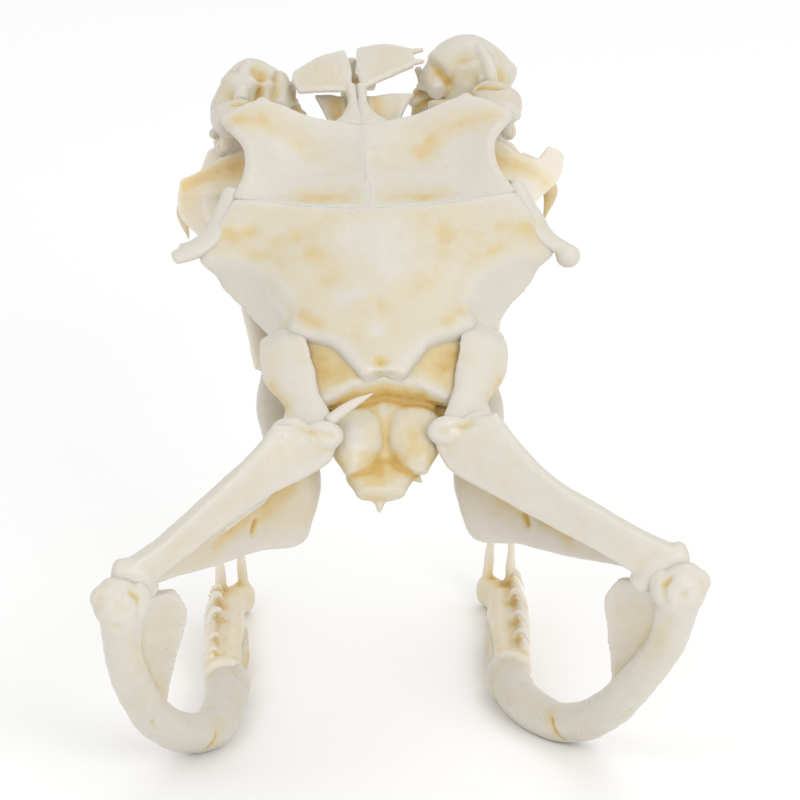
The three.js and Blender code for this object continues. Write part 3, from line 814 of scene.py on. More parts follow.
@dataclass
class Braincase:
    """Parietal, occipital and basisphenoid: the closed box behind and under the frontals.

    Each section across the parietal names its ridge and its foot (side, forward, up) and its middle
    (forward, up), in mm along the braincase. The pinholes of the parietal and the frontals are given the
    same way.
    """

    sections: tuple[tuple[tuple[float, ...], ...], ...] = (
        ((7.9, 17.25, 6.75), (7.0, 17.2, 4.0), (16.2, 6.75)),
        ((9.2, 15.9, 5.6), (8.3, 15.7, 3.8), (15.2, 6.6)),
        ((9.9, 14.8, 4.6), (8.7, 14.3, 3.3), (14.3, 6.5)),
        ((7.9, 13.9, 4.95), (8.2, 13.2, 2.9), (13.2, 6.4)),
        ((6.3, 12.5, 5.3), (7.5, 12.4, 2.7), (11.9, 6.3)),
        ((5.1, 10.7, 5.25), (6.8, 11.0, 2.7), (10.3, 6.1)),
        ((4.6, 9.5, 5.0), (6.2, 9.6, 2.9), (8.9, 5.85)),
        ((4.8, 8.3, 4.5), (5.7, 8.4, 3.3), (7.6, 5.5)),
        ((2.5, 6.7, 4.8), (2.7, 6.4, 3.7), (6.4, 5.1)),
        ((1.6, 5.4, 4.6), (1.8, 5.2, 3.7), (5.3, 4.8)),
        ((1.0, 4.4, 4.45), (1.1, 4.3, 3.6), (4.3, 4.55)),
    )
    table_share: float = 0.62
    table_power: float = 2.4
    face_dent: float = 0.15
    pinholes: tuple[tuple[float, float, float], ...] = (
        (-1.6, 11.5, 6.3), (-6.4, 15.1, 6.0), (-2.4, 16.4, 6.8), (4.9, 22.4, 6.2), (-6.2, 22.9, 6.3),
    )

    def section_row(
        self, ridge: tuple[float, ...], foot: tuple[float, ...], middle: tuple[float, ...]
    ) -> Path:
        """Lays a row of points across the parietal.

        Formula: the roof falls from the middle to each ridge by a power of the distance from the middle,
        and the side face is dented halfway between ridge and foot.

        Args:
            ridge: Side, forward and up of the ridge.
            foot: Side, forward and up of the foot of the side face.
            middle: Forward and up on the midline.

        Returns:
            Points from the left foot over both ridges to the right foot.
        """
        ridge_at, foot_at = np.array(ridge), np.array(foot)
        face = (ridge_at + foot_at) / 2 - np.array([self.face_dent, 0.0, 0.0])
        top = np.array([0.0, *middle])
        share = self.table_share
        rise = (ridge_at[1:] - top[1:]) * share**self.table_power
        return self.mirrored(foot_at, face, ridge_at, (ridge_at[0] * share, *(top[1:] + rise)), top)

    def mirrored(self, *half: Sequence[float]) -> Path:
        """Completes a row of points across the braincase.

        Args:
            half: Side, forward and up of each point, from the outermost to the one on the midline.

        Returns:
            Points from the left to the right.
        """
        left = [skull(-x, forward, up) for x, forward, up in half]
        return [*left, *(skull(x, forward, up) for x, forward, up in reversed(half[:-1]))]

    def parietal(self) -> Bone:
        """Parietal: the roof with its two ridges and side faces, over a filled box.

        Returns:
            The bone.
        """
        forms = [
            sheet([self.section_row(*section) for section in self.sections], 0.6, across=120, down=90,
                  rim=0.9),
            rod([skull(0, 17.0, 4.2), skull(0, 12.5, 3.7), skull(0, 9.4, 3.5), skull(0, 5.6, 3.7)],
                [6.5, 6.5, 5.2, 1.6], [2.2, 2.2, 1.9, 0.9], around=48, square=0.6, cap=0.1),
        ]
        marks = [
            Mark(self.mirrored((7.0, 17.0, 6.8), (3.0, 16.4, 6.8), (0, 16.3, 6.8)), 0.22, -0.09, stain=-0.3),
            Mark((skull(-0.4, 13.4, 6.4), skull(0.6, 11.8, 6.2)), 2.2, 0.0, stain=-0.3),
            Mark((skull(-2.0, 9.3, 5.9), skull(-1.3, 9.4, 5.9)), 0.75, -0.05, stain=-0.45),
            Mark((skull(-0.2, 7.0, 5.2),), 0.7, -0.08, stain=-0.4),
            Mark((skull(-2.6, 15.2, 6.7), skull(-3.6, 12.9, 6.3), skull(-2.6, 10.4, 6.0), skull(0, 8.3, 5.6),
                  skull(3.0, 10.4, 6.0), skull(4.0, 12.9, 6.3), skull(2.6, 15.2, 6.7)), 0.9, 0.0, stain=0.22),
            Mark((skull(-0.1, 4.75, 4.75),), 0.42, 0.12, stain=0.5),
        ]
        for side in Side:
            p = SidePart(side).head
            ridge = [at for at, _, _ in self.sections]
            crest = [p(x, forward, up) for x, forward, up in ridge[2:8]]
            inside = [p(x - 0.5, forward + 0.4, up + 0.25) for x, forward, up in ridge[2:7]]
            rear = [p(x, forward, up) for x, forward, up in ridge[7:]]
            lie = (side.value * 0.3, -0.5, 0.8)
            forms.append(rod(crest, [0.17] * 6, [0.34] * 6, lie, steps=70, around=16))
            marks += [
                Mark(crest, 0.25, -0.05, stain=-0.1),
                Mark(inside, 0.42, 0.14, stain=0.3),
                Mark(inside[:3], 1.0, 0.1, stain=0.08),
                Mark((p(8.6, 15.4, 5.9), p(7.2, 15.2, 6.2)), 0.5, 0.06, stain=0.2),
                Mark(rear, 0.4, -0.12, stain=-0.35),
                Mark((p(4.4, 14.4, 6.3), p(5.6, 14.2, 5.9)), 0.9, 0.08, stain=0.16),
                Mark((p(3.6, 7.9, 4.9), p(4.4, 8.9, 4.9)), 0.6, 0.12, stain=0.4),
                Mark((p(8.2, 13.6, 3.8), p(5.9, 10.2, 4.0)), 1.5, 0.0, stain=-0.42),
            ]
        # Painted shade: the pinholes are dented and coloured dark brown for the shade inside them.
        marks += [Mark((skull(*hole),), 0.12, 0.2, stain=PINHOLE_SHADE) for hole in self.pinholes[:3]]
        return Bone("parietal", forms, marks, rounds=4)

    def occipital(self) -> Bone:
        """Occipital block: rough shelf whose rear rim is an arch, two domed lobes, condyle and spike.

        Returns:
            The bone.
        """
        shelf = [
            self.mirrored((5.7, 8.9, 3.5), (4.1, 7.9, 4.15), (0, 6.4, 4.5)),
            self.mirrored((5.5, 6.3, 3.0), (3.4, 5.7, 3.75), (0, 5.3, 4.3)),
            self.mirrored((4.6, 3.2, 2.5), (2.6, 4.0, 3.45), (0, 4.5, 3.85)),
        ]
        arch = self.mirrored((3.3, 3.5, 3.25), (1.9, 4.2, 3.75), (0, 4.5, 4.0))
        groove = self.mirrored((3.5, 3.0, 2.5), (2.1, 3.7, 2.95), (0, 3.95, 3.15))
        forms = [
            sheet(shelf, 0.75, across=90, down=50, rim=0.8),
            rod([skull(0, 8.8, 1.6), skull(0, 5.4, 1.6), skull(0, 3.4, 1.2), skull(0, 1.4, 0.3)],
                [5.1, 4.6, 3.5, 1.9], [1.9, 1.9, 1.6, 0.9], around=44, square=0.3),
            rod([skull(-0.3, 1.7, 0.2), skull(-0.3, 0.3, 0.1), skull(-0.3, -0.55, -0.15)], [1.7, 1.85, 1.35],
                [0.75, 0.85, 0.65], square=0.45, around=36),
            rod([skull(-0.4, -0.4, -0.4), skull(-0.4, -0.65, -0.9), skull(-0.4, -0.7, -1.4)],
                [0.35, 0.26, 0.1], [0.35, 0.26, 0.1], lie=(1, 0, 0)),
            rod([skull(1.6, 0.9, -0.2), skull(1.95, 0.5, -0.3)], [0.3, 0.12], [0.3, 0.12]),
        ]
        marks = [
            Mark(arch, 0.28, -0.1, stain=-0.35),
            # Painted shade: the honey along this groove stands in for the shade under the overhanging arch.
            Mark(groove, 0.5, 0.12, stain=0.5),
            Mark((skull(-1.5, 0.5, 0.55), skull(-0.3, 0.2, 0.5), skull(0.9, 0.5, 0.55)), 0.5, 0.15,
                 stain=0.42),
            Mark((skull(-1.75, 1.7, 2.9), skull(-1.75, 1.0, 2.4)), 0.62, -0.05, stain=-0.5),
            Mark((skull(1.9, 2.6, 2.9), skull(1.8, 0.9, 2.3)), 1.1, 0.0, stain=0.12),
            Mark((skull(0, 3.6, 3.0), skull(0, 1.0, 2.3)), 0.2, 0.0, stain=-0.35),
        ]
        for side in Side:
            p = SidePart(side).head
            forms += [
                rod([p(1.45, 4.2, 1.5), p(1.62, 2.7, 1.65), p(1.5, 1.3, 1.1), p(1.3, 0.7, 0.6)],
                    [1.4, 1.62, 1.5, 1.1], [1.25, 1.25, 1.05, 0.7], square=0.25, around=36),
                rod([p(3.0, 5.0, 1.6), p(3.2, 2.8, 1.2)], [1.1, 0.8], [1.2, 0.9]),
            ]
            marks += [
                Mark((p(4.7, 7.2, 3.7), p(3.3, 5.4, 3.7)), 1.3, 0.1, stain=0.22),
                Mark((p(5.3, 8.7, 3.7), p(4.4, 8.2, 4.0)), 0.32, 0.25, stain=0.6),
                Mark((p(3.0, 2.2, 2.0), p(2.4, 0.8, 1.2)), 0.5, 0.1, stain=0.25),
            ]
        return Bone("occipital", forms, marks, STAINED_BONE, Slot.STAINED, voxel=0.1, wave=0.045)

    def basisphenoid(self) -> Bone:
        """Basisphenoid with its spear-shaped front and low keel.

        Returns:
            The bone.
        """
        forms = [
            rod([skull(0, 27.0, 2.2), skull(0, 20, 1.3), skull(0, 14, 0.4), skull(0, 8.5, -0.5),
                 skull(0, 4.2, -0.7)], [0.45, 0.9, 1.7, 2.9, 2.2], [0.5, 0.75, 0.9, 0.9, 0.6]),
            rod([skull(0, 12, -0.3), skull(0, 8, -1.5), skull(0, 4.4, -1.2)], [0.35, 0.4, 0.3],
                [0.5, 0.9, 0.5]),
        ]
        return Bone("basisphenoid", forms, finish=STAINED_BONE, slot=Slot.STAINED)

    def bones(self) -> list[Bone]:
        """All bones of the braincase."""
        return [self.parietal(), self.occipital(), self.basisphenoid()]


@dataclass
class RoofSide(SidePart):
    """Frontal, supratemporal and postorbital of one side.

    Widths run from the midline, and the frontal reaches past it by the seam's lap. The right postorbital
    is the shorter one.
    """

    half_width: float = 7.9
    orbit_half_width: float = 7.0
    thick: float = 0.5
    seam_lap: float = 0.14
    right_short: float = 0.75

    def frontal(self) -> Bone:
        """Frontal: dished roof plate with a thick front rim, an orbit rim and a knobbed front corner.

        Returns:
            The bone.
        """
        p, orbit, lap = self.head, self.orbit_half_width, self.seam_lap
        rows = [
            [p(-lap, 16.1, 6.72), p(2.8, 16.25, 6.68), p(5.4, 16.7, 6.7), p(self.half_width, 17.3, 6.8)],
            [p(-lap, 19.2, 6.45), p(2.8, 19.3, 6.1), p(5.2, 19.5, 6.2), p(orbit + 0.15, 19.8, 6.9)],
            [p(-lap, 22.2, 6.3), p(2.8, 22.3, 5.9), p(5.2, 22.4, 6.2), p(orbit + 0.1, 22.1, 7.0)],
            [p(-lap, 24.8, 6.2), p(3.1, 25.4, 6.5), p(6.1, 26.1, 7.3), p(8.4, 25.1, 6.9)],
        ]
        forms = [
            sheet(rows, self.thick, across=60, down=60, rim=1.0),
            rod([p(1.9, 17.0, 4.0), p(1.75, 21, 4.2), p(1.6, 25.0, 4.5)], [1.7, 1.55, 1.4], [2.2, 1.9, 1.5],
                square=0.3),
            rod([p(0.3, 24.75, 6.1), p(3.1, 25.3, 6.4), p(6.0, 26.0, 7.1), p(8.3, 25.1, 6.75)],
                [0.22, 0.3, 0.36, 0.5], [0.25, 0.28, 0.3, 0.4]),
            rod([p(8.3, 25.1, 6.75), p(7.15, 22.2, 6.9), p(7.2, 19.9, 6.8), p(7.9, 17.6, 6.8)],
                [0.35, 0.22, 0.22, 0.25], [0.35, 0.24, 0.24, 0.25]),
            rod([p(6.7, 24.6, 6.5), p(7.9, 25.4, 6.3)], [0.8, 0.75], [0.6, 0.6]),
            lump(p(6.0, 26.15, 7.05), (0.5, 0.45, 0.45)),
        ]
        marks = [
            Mark((p(7.6, 24.6, 6.9), p(6.0, 24.4, 6.7), p(4.3, 23.6, 6.2), p(3.4, 22.6, 6.0)), 0.9, 0.05,
                 stain=0.36),
            Mark((p(1.4, 17.6, 6.6), p(3.8, 17.7, 6.5)), 1.1, 0.05, stain=0.3),
            Mark((p(3.0, 17.4, 6.6),), 0.5, 0.0, stain=0.2 + 0.12 * self.side.value),
            Mark((p(5.4, 21.8, 6.3), p(6.0, 18.8, 6.5)), 1.4, 0.0, stain=-0.5),
            Mark((p(0.0, 24.6, 6.3), p(0.0, 16.3, 6.8)), 0.2, -0.05, stain=-0.4),
            Mark((p(0.6, 16.3, 6.9), p(4.0, 16.6, 6.9), p(7.4, 17.3, 7.0)), 0.25, -0.04, stain=-0.35),
        ]
        holes = [hole for hole in Braincase.pinholes[3:] if hole[0] * self.side.value > 0]
        # Painted shade: the pinholes are dented and coloured dark brown for the shade inside them.
        marks += [Mark((skull(*hole),), 0.11, 0.12, stain=PINHOLE_SHADE) for hole in holes]
        return Bone(self.named("frontal"), forms, marks, PALE_BONE)

    def supratemporal(self) -> Bone:
        """Supratemporal: a flat splint on the braincase, narrow at its waist, that carries the quadrate.

        Returns:
            The bone.
        """
        p = self.head
        path = [p(5.7, 8.4, 4.0), p(5.65, 7.2, 4.15), p(5.4, 5.4, 3.75), p(4.75, 3.4, 3.35), p(4.5, 1.9, 2.8)]
        forms = [rod(path, [1.3, 1.5, 1.5, 1.1, 1.5], [0.3, 0.4, 0.5, 0.5, 0.6],
                     lie=(self.side.value * 0.35, -0.3, 1), steps=60, cap=1.6)]
        marks = [
            Mark((p(4.6, 8.0, 4.4), p(4.4, 6.0, 4.1)), 0.6, 0.1, stain=0.3),
            Mark((p(6.5, 4.6, 3.4), p(5.9, 3.1, 3.2)), 0.55, 0.14, stain=0.5),
        ]
        return Bone(self.named("supratemporal"), forms, marks, PALE_BONE)

    def postorbital(self) -> Bone:
        """Postorbital: the curved flat splint behind the eye socket, forked or knobbed at its tip.

        Returns:
            The bone.
        """
        p = self.head
        lie = (self.side.value * 0.5, -0.5, 1.0)
        short = 0.0 if self.side is Side.LEFT else self.right_short
        path = [p(8.25, 18.4, 6.65), p(8.7, 17.1, 6.2), p(9.25, 16.0, 5.5), p(10.3 - short / 2, 15.3, 5.0),
                p(11.6 - short, 14.8, 4.7)]
        forms = [rod(path, [0.5, 0.62, 0.8, 0.7, 0.55], [0.35, 0.4, 0.45, 0.4, 0.36], lie=lie)]
        if self.side is Side.LEFT:
            forms.append(rod([p(10.6, 15.5, 4.9), p(11.3, 15.75, 4.8)], [0.42, 0.22], [0.35, 0.2]))
        else:
            forms.append(lump(p(11.7 - short, 14.5, 4.45), (0.72, 0.6, 0.7)))
        marks = [Mark((p(8.3, 17.0, 5.9), p(8.9, 15.7, 5.0)), 0.4, 0.06, stain=0.3)]
        return Bone(self.named("postorbital"), forms, marks, PALE_BONE, rounds=4)

    def bones(self) -> list[Bone]:
        """All roof bones of this side."""
        return [self.frontal(), self.supratemporal(), self.postorbital()]


@dataclass
class UpperJaw(SidePart):
    """Prefrontal, maxilla with its fang, palatine, pterygoid and ectopterygoid of one side.

    Rows of teeth are given by their number, the root of the first tooth and the step to the next. The
    right side is swung forward and a little wider from some way ahead of the condyle on, and its fang
    stands further out and is stouter.
    """

    fang_radius: float = 0.72
    fang_taper: tuple[float, ...] = (1, 0.85, 0.6, 0.1)
    palatine_teeth: int = 3
    palatine_first: tuple[float, float, float] = (3.3, 27.2, 0.1)
    palatine_step: tuple[float, float, float] = (0.25, 1.5, 0.5)
    pterygoid_teeth: int = 8
    pterygoid_first: tuple[float, float, float] = (3.1, 24, -1.7)
    pterygoid_step: tuple[float, float, float] = (0.28, -1.6, -0.08)
    right_swing_from: float = 24
    right_swing_length: float = 4
    right_forward: float = 1.3
    right_breadth: float = 1.06
    right_fang_out: float = 0.35
    right_fang_stout: float = 1.25

    def front(self, x: float, forward: float, up: float) -> np.ndarray:
        """Gives a point near the snout.

        Formula: on the right, its distances from the middle and ahead grow evenly over the swing's length.

        Args:
            x: Distance from the middle, in mm.
            forward: Distance ahead of the condyle.
            up: Height over the condyle.

        Returns:
            The point in mm.
        """
        if self.side is Side.LEFT:
            return self.head(x, forward, up)
        swing = min(max((forward - self.right_swing_from) / self.right_swing_length, 0.0), 1.0)
        wider = 1 + (self.right_breadth - 1) * swing
        return self.head(x * wider, forward + self.right_forward * swing, up)

    def prefrontal(self) -> Bone:
        """Prefrontal: block ahead of the eye socket that the maxilla hinges on.

        Returns:
            The bone.
        """
        p = self.front
        forms = [
            rod([p(7.7, 25.7, 5.9), p(7.7, 27.2, 5.3), p(7.2, 28.9, 4.6)], [1.25, 1.45, 1.1],
                [0.8, 1.0, 0.8]),
            rod([p(7.1, 27.6, 4.6), p(5.2, 28.6, 3.9), p(4.2, 29.4, 3.4)], [0.9, 0.7, 0.4],
                [0.5, 0.45, 0.35]),
            rod([p(8.1, 26.5, 5.3), p(8.1, 26.9, 4.0), p(8.3, 27.6, 2.8)], [0.7, 0.55, 0.5], [0.8, 0.7, 0.6],
                lie=(0, 1, 0)),
        ]
        marks = [
            Mark((p(7.6, 27.6, 6.2), p(6.6, 28.6, 5.4)), 0.5, 0.25, stain=0.4),
            Mark((p(8.8, 26.9, 5.0), p(8.6, 27.0, 3.4)), 0.5, 0.15, stain=0.4),
            Mark((p(6.2, 28.2, 4.6), p(4.4, 29.2, 4.0)), 0.6, 0.0, stain=0.4),
        ]
        return Bone(self.named("prefrontal"), forms, marks)

    def maxilla(self) -> Bone:
        """Maxilla: tall rounded block over the fang, with a pale ridge beside the pit of the heat organ.

        Returns:
            The bone.
        """
        p = self.front
        forms = [
            rod([p(6.6, 31.8, 4.6), p(6.8, 31.2, 3.4), p(7.1, 30.4, 1.7), p(7.4, 29.9, -0.2)],
                [1.6, 2.1, 1.7, 1.3], [1.2, 1.5, 1.5, 1.35], lie=(0, 1, 0), around=36),
            rod([p(5.2, 32.4, 4.4), p(6.5, 33.0, 4.5), p(7.7, 32.4, 3.7)], [0.75, 0.9, 0.8], [0.7, 0.8, 0.8]),
            rod([p(6.6, 33.2, 4.7), p(6.9, 31.8, 4.9), p(7.15, 30.2, 4.5)], [0.45, 0.5, 0.5],
                [0.5, 0.5, 0.5]),
            rod([p(4.9, 32.9, 3.9), p(4.5, 31.7, 3.7), p(4.6, 30.6, 3.6)], [0.8, 0.9, 0.6],
                [0.75, 0.75, 0.6]),
            rod([p(7.6, 30.0, 2.4), p(8.6, 29.5, 2.6), p(9.0, 29.3, 2.6)], [0.7, 0.5, 0.3], [0.8, 0.5, 0.3]),
            rod([p(4.2, 31.2, 3.5), p(3.6, 31.5, 3.3)], [0.4, 0.22], [0.35, 0.2]),
        ]
        if self.side is Side.LEFT:
            marks = [
                Mark((p(5.9, 31.6, 5.0), p(5.9, 30.6, 4.6), p(5.95, 29.8, 4.2)), 0.38, 0.45, stain=0.3),
                Mark((p(7.4, 32.6, 4.3),), 0.25, 0.3, stain=0.35),
                Mark((p(7.5, 31.0, 3.9),), 0.7, 0.3, stain=0.35),
                Mark((p(4.2, 32.4, 3.9), p(3.8, 31.3, 3.8)), 0.45, 0.15, stain=0.4),
                Mark((p(6.9, 33.0, 5.0), p(7.2, 30.6, 5.0)), 0.45, 0.0, stain=-0.5),
                Mark((p(8.4, 31.6, 3.0), p(8.2, 32.6, 3.4)), 0.9, 0.0, stain=-0.25),
            ]
        else:
            forms += [
                rod([p(5.0, 32.2, 3.9), p(6.4, 33.0, 4.3), p(8.2, 31.9, 3.2)], [1.5, 1.9, 1.6],
                    [1.3, 1.35, 1.3], around=36),
                rod([p(6.9, 32.4, 5.3), p(7.4, 30.6, 5.1), p(7.5, 29.4, 4.6)], [0.4, 0.4, 0.4],
                    [0.5, 0.45, 0.4]),
            ]
            marks = [
                Mark((p(7.5, 29.4, 4.9), p(7.0, 29.0, 4.8)), 0.45, 0.35, stain=0.5),
                Mark((p(6.0, 31.8, 5.2), p(6.2, 30.0, 4.9)), 0.5, 0.12, stain=0.1),
                Mark((p(4.6, 31.4, 4.6), p(5.4, 30.4, 4.6)), 0.8, 0.05, stain=0.16),
                Mark((p(8.2, 30.8, 4.4),), 0.6, 0.12, stain=0.2),
                Mark((p(7.0, 32.4, 5.7), p(7.4, 30.6, 5.5)), 0.4, 0.0, stain=-0.5),
                Mark((p(5.6, 33.0, 4.9), p(8.6, 32.2, 3.6)), 0.9, 0.0, stain=-0.3),
            ]
        return Bone(self.named("maxilla"), forms, marks, voxel=0.1, rounds=4, wave=0.04)

    def fang(self) -> Bone:
        """Fang: a long curved tooth, with painted shade that turns it brown towards its tip.

        Returns:
            The bone.
        """
        p = self.front
        left = self.side is Side.LEFT
        out, stout = (0.0, 1.0) if left else (self.right_fang_out, self.right_fang_stout)
        sizes = [share * stout * self.fang_radius for share in self.fang_taper]
        path = [p(7.9, 29.9, -0.7), p(9.3, 29.9, -2.0), p(10.7 + out, 29.8, -3.4), p(10.4 + out, 29.0, -5.1)]
        forms = [rod(path, sizes, sizes, lie=(0, 1, 0.2))]
        # Painted shade: the fang turns brown along its length towards the tip, for the shade of the skull
        # above it.
        marks = [Mark(path[1:], 1.3, 0.0, stain=0.62)]
        return Bone(self.named("fang"), forms, marks, FANG_ENAMEL, Slot.FANG, voxel=0.1, wave=0.01)

    def palatine(self) -> Bone:
        """Palatine: stained bone with a finger at its front and a few teeth below.

        Returns:
            The bone.
        """
        p = self.front
        forms = [
            rod([p(3.0, 25.4, -0.6), p(3.4, 28.2, 0.3), p(3.9, 31.0, 1.5), p(4.0, 32.4, 2.3)],
                [0.7, 0.8, 0.85, 0.7], [0.5, 0.6, 0.6, 0.5]),
            rod([p(3.9, 31.6, 1.9), p(3.9, 33.0, 2.7), p(3.7, 33.6, 3.1)], [0.4, 0.3, 0.25],
                [0.4, 0.3, 0.25]),
            rod([p(3.2, 31.4, 2.2), p(4.2, 32.0, 2.5), p(5.0, 31.6, 2.6)], [0.5, 0.65, 0.5],
                [0.35, 0.45, 0.4]),
        ]
        for i in range(self.palatine_teeth):
            x, forward, up = np.add(self.palatine_first, np.multiply(i, self.palatine_step))
            tip = p(x, forward - 0.7, up - 2.1)
            forms.append(tooth(p(x, forward, up), p(x + 0.05, forward, up - 1.2), tip, 0.3))
        marks = [Mark((p(3.4, 31.8, 2.8), p(4.6, 32.0, 2.8)), 0.6, 0.1, stain=0.45)]
        return Bone(self.named("palatine"), forms, marks, STAINED_BONE, Slot.STAINED, voxel=0.1)

    def pterygoid(self) -> Bone:
        """Pterygoid: toothed shaft along the palate and the tall blade that reaches back to the jaw joint.

        Returns:
            The bone.
        """
        p, w = self.head, self.floor
        blade = [
            [w(6.0, 2.2, 20.2), w(5.7, 2.2, 19.1), w(5.4, 2.0, 17.9)],
            [w(4.4, -2.0, 19.7), w(4.1, -2.2, 17.4), w(4.9, -2.8, 14.4)],
            [w(7.2, -4.0, 19.3), w(7.1, -3.8, 17.2), w(7.3, -4.0, 14.4)],
            [w(10.3, -7.0, 17.8), w(10.2, -6.9, 16.2), w(10.0, -6.6, 14.6)],
            [w(12.8, -10.0, 16.9), w(12.6, -9.9, 16.1), w(12.4, -9.6, 15.2)],
            [w(14.4, -11.9, 16.5), w(14.2, -11.7, 16.0), w(14.0, -11.5, 15.4)],
        ]
        forms = [
            rod([p(2.8, 24.9, -1.2), p(4.0, 19, -1.7), p(5.3, 13, -1.9), p(6.0, 9, -1.6), p(5.8, 5.5, -1.3)],
                [0.6, 0.8, 1.1, 1.1, 1.0], [0.55, 0.6, 0.6, 0.6, 0.6]),
            sheet(blade, 0.55, across=40, down=80),
            rod([w(5.4, -3.2, 19.2), w(7.6, -4.9, 17.7), w(9.4, -6.4, 16.7)], [0.3, 0.42, 0.3],
                [0.3, 0.45, 0.3]),
        ]
        for i in range(self.pterygoid_teeth):
            x, forward, low = np.add(self.pterygoid_first, np.multiply(i, self.pterygoid_step))
            tip = p(x, forward - 0.6, low - 1.7 + i * 0.06)
            forms.append(tooth(p(x, forward, low), p(x, forward, low - 1.0), tip, 0.28))
        marks = [
            Mark((w(4.8, -2.6, 18.6), w(6.4, -3.6, 17.8), w(7.2, -4.2, 16.9)), 1.0, 0.06, stain=0.22),
            Mark((w(7.5, -4.5, 16.3), w(7.7, -4.6, 15.8)), 0.22, 0.2, stain=0.4),
            Mark((w(5.2, -2.9, 16.6), w(6.2, -3.5, 15.6)), 0.8, 0.0, stain=-0.1),
            Mark((w(8.4, -5.0, 16.6), w(9.9, -6.6, 15.9)), 0.6, 0.15, stain=0.25),
            Mark((w(5.6, -3.1, 14.8), w(9.0, -5.6, 15.0)), 0.9, 0.0, stain=-0.3),
        ]
        return Bone(self.named("pterygoid"), forms, marks)

    def ectopterygoid(self) -> Bone:
        """Ectopterygoid: a honey-coloured band towards the maxilla, a pale leaf and a thin shaft, painted
        brighter to offset the shade they sit in.

        Returns:
            The bone.
        """
        p = self.head
        if self.side is Side.LEFT:
            band = [
                [p(6.4, 27.2, 3.4), p(8.2, 26.6, 3.1), p(9.8, 26.2, 2.3), p(11.1, 25.95, 1.75)],
                [p(6.9, 24.4, 1.9), p(8.4, 24.6, 1.6), p(9.7, 24.8, 1.35), p(11.2, 25.0, 1.25)],
            ]
            leaf = [
                [p(7.6, 24.7, 1.5), p(9.4, 25.0, 1.4), p(11.2, 25.3, 1.25)],
                [p(8.5, 23.5, 1.0), p(9.7, 23.7, 0.8), p(11.05, 24.1, 0.5)],
                [p(9.1, 22.6, 0.2), p(9.6, 22.5, 0.1), p(10.1, 22.8, 0.1)],
            ]
        else:
            band = [
                [p(7.0, 28.2, 3.6), p(8.3, 26.9, 3.3), p(9.4, 26.3, 2.8), p(10.7, 26.8, 2.1)],
                [p(7.3, 25.0, 2.2), p(8.4, 24.8, 2.0), p(9.4, 25.0, 1.7), p(10.7, 25.8, 1.2)],
            ]
            leaf = [
                [p(11.1, 28.3, 1.9), p(11.7, 28.2, 1.7), p(12.1, 27.9, 1.5)],
                [p(9.9, 26.2, 2.0), p(10.8, 26.2, 1.5), p(11.6, 26.6, 0.8)],
                [p(8.2, 24.0, 2.0), p(9.0, 23.8, 1.5), p(9.7, 23.7, 0.9)],
            ]
        shaft = [p(8.5, 28.8, 1.5), p(9.0, 26.3, 1.5), p(8.8, 24.2, 1.1), p(7.9, 21.5, 0.5),
                 p(7.2, 18.5, -0.2), p(6.8, 15.5, -1.0), p(6.5, 12.4, -1.5)]
        forms = [
            sheet(band, 0.5), sheet(leaf, 0.5, rim=0.7),
            rod(shaft, [0.8, 0.9, 1.0, 0.8, 0.7, 0.65, 0.6], [0.5, 0.45, 0.45, 0.45, 0.5, 0.5, 0.4],
                steps=70),
        ]
        marks = [
            Mark((p(7.4, 25.9, 2.8), p(9.4, 25.7, 2.2), p(10.8, 25.6, 1.7)), 0.75, 0.12, stain=0.4),
            Mark((leaf[0][1], leaf[2][1]), 0.8, 0.0, stain=-0.4),
        ]
        # Painted light: the brighter copy of the bone colours offsets the shade this bone sits in.
        return Bone(self.named("ectopterygoid"), forms, marks, SHADE_LIFTED_BONE)

    def bones(self) -> list[Bone]:
        """All upper jaw bones of this side."""
        return [self.prefrontal(), self.maxilla(), self.fang(), self.palatine(), self.pterygoid(),
                self.ectopterygoid()]


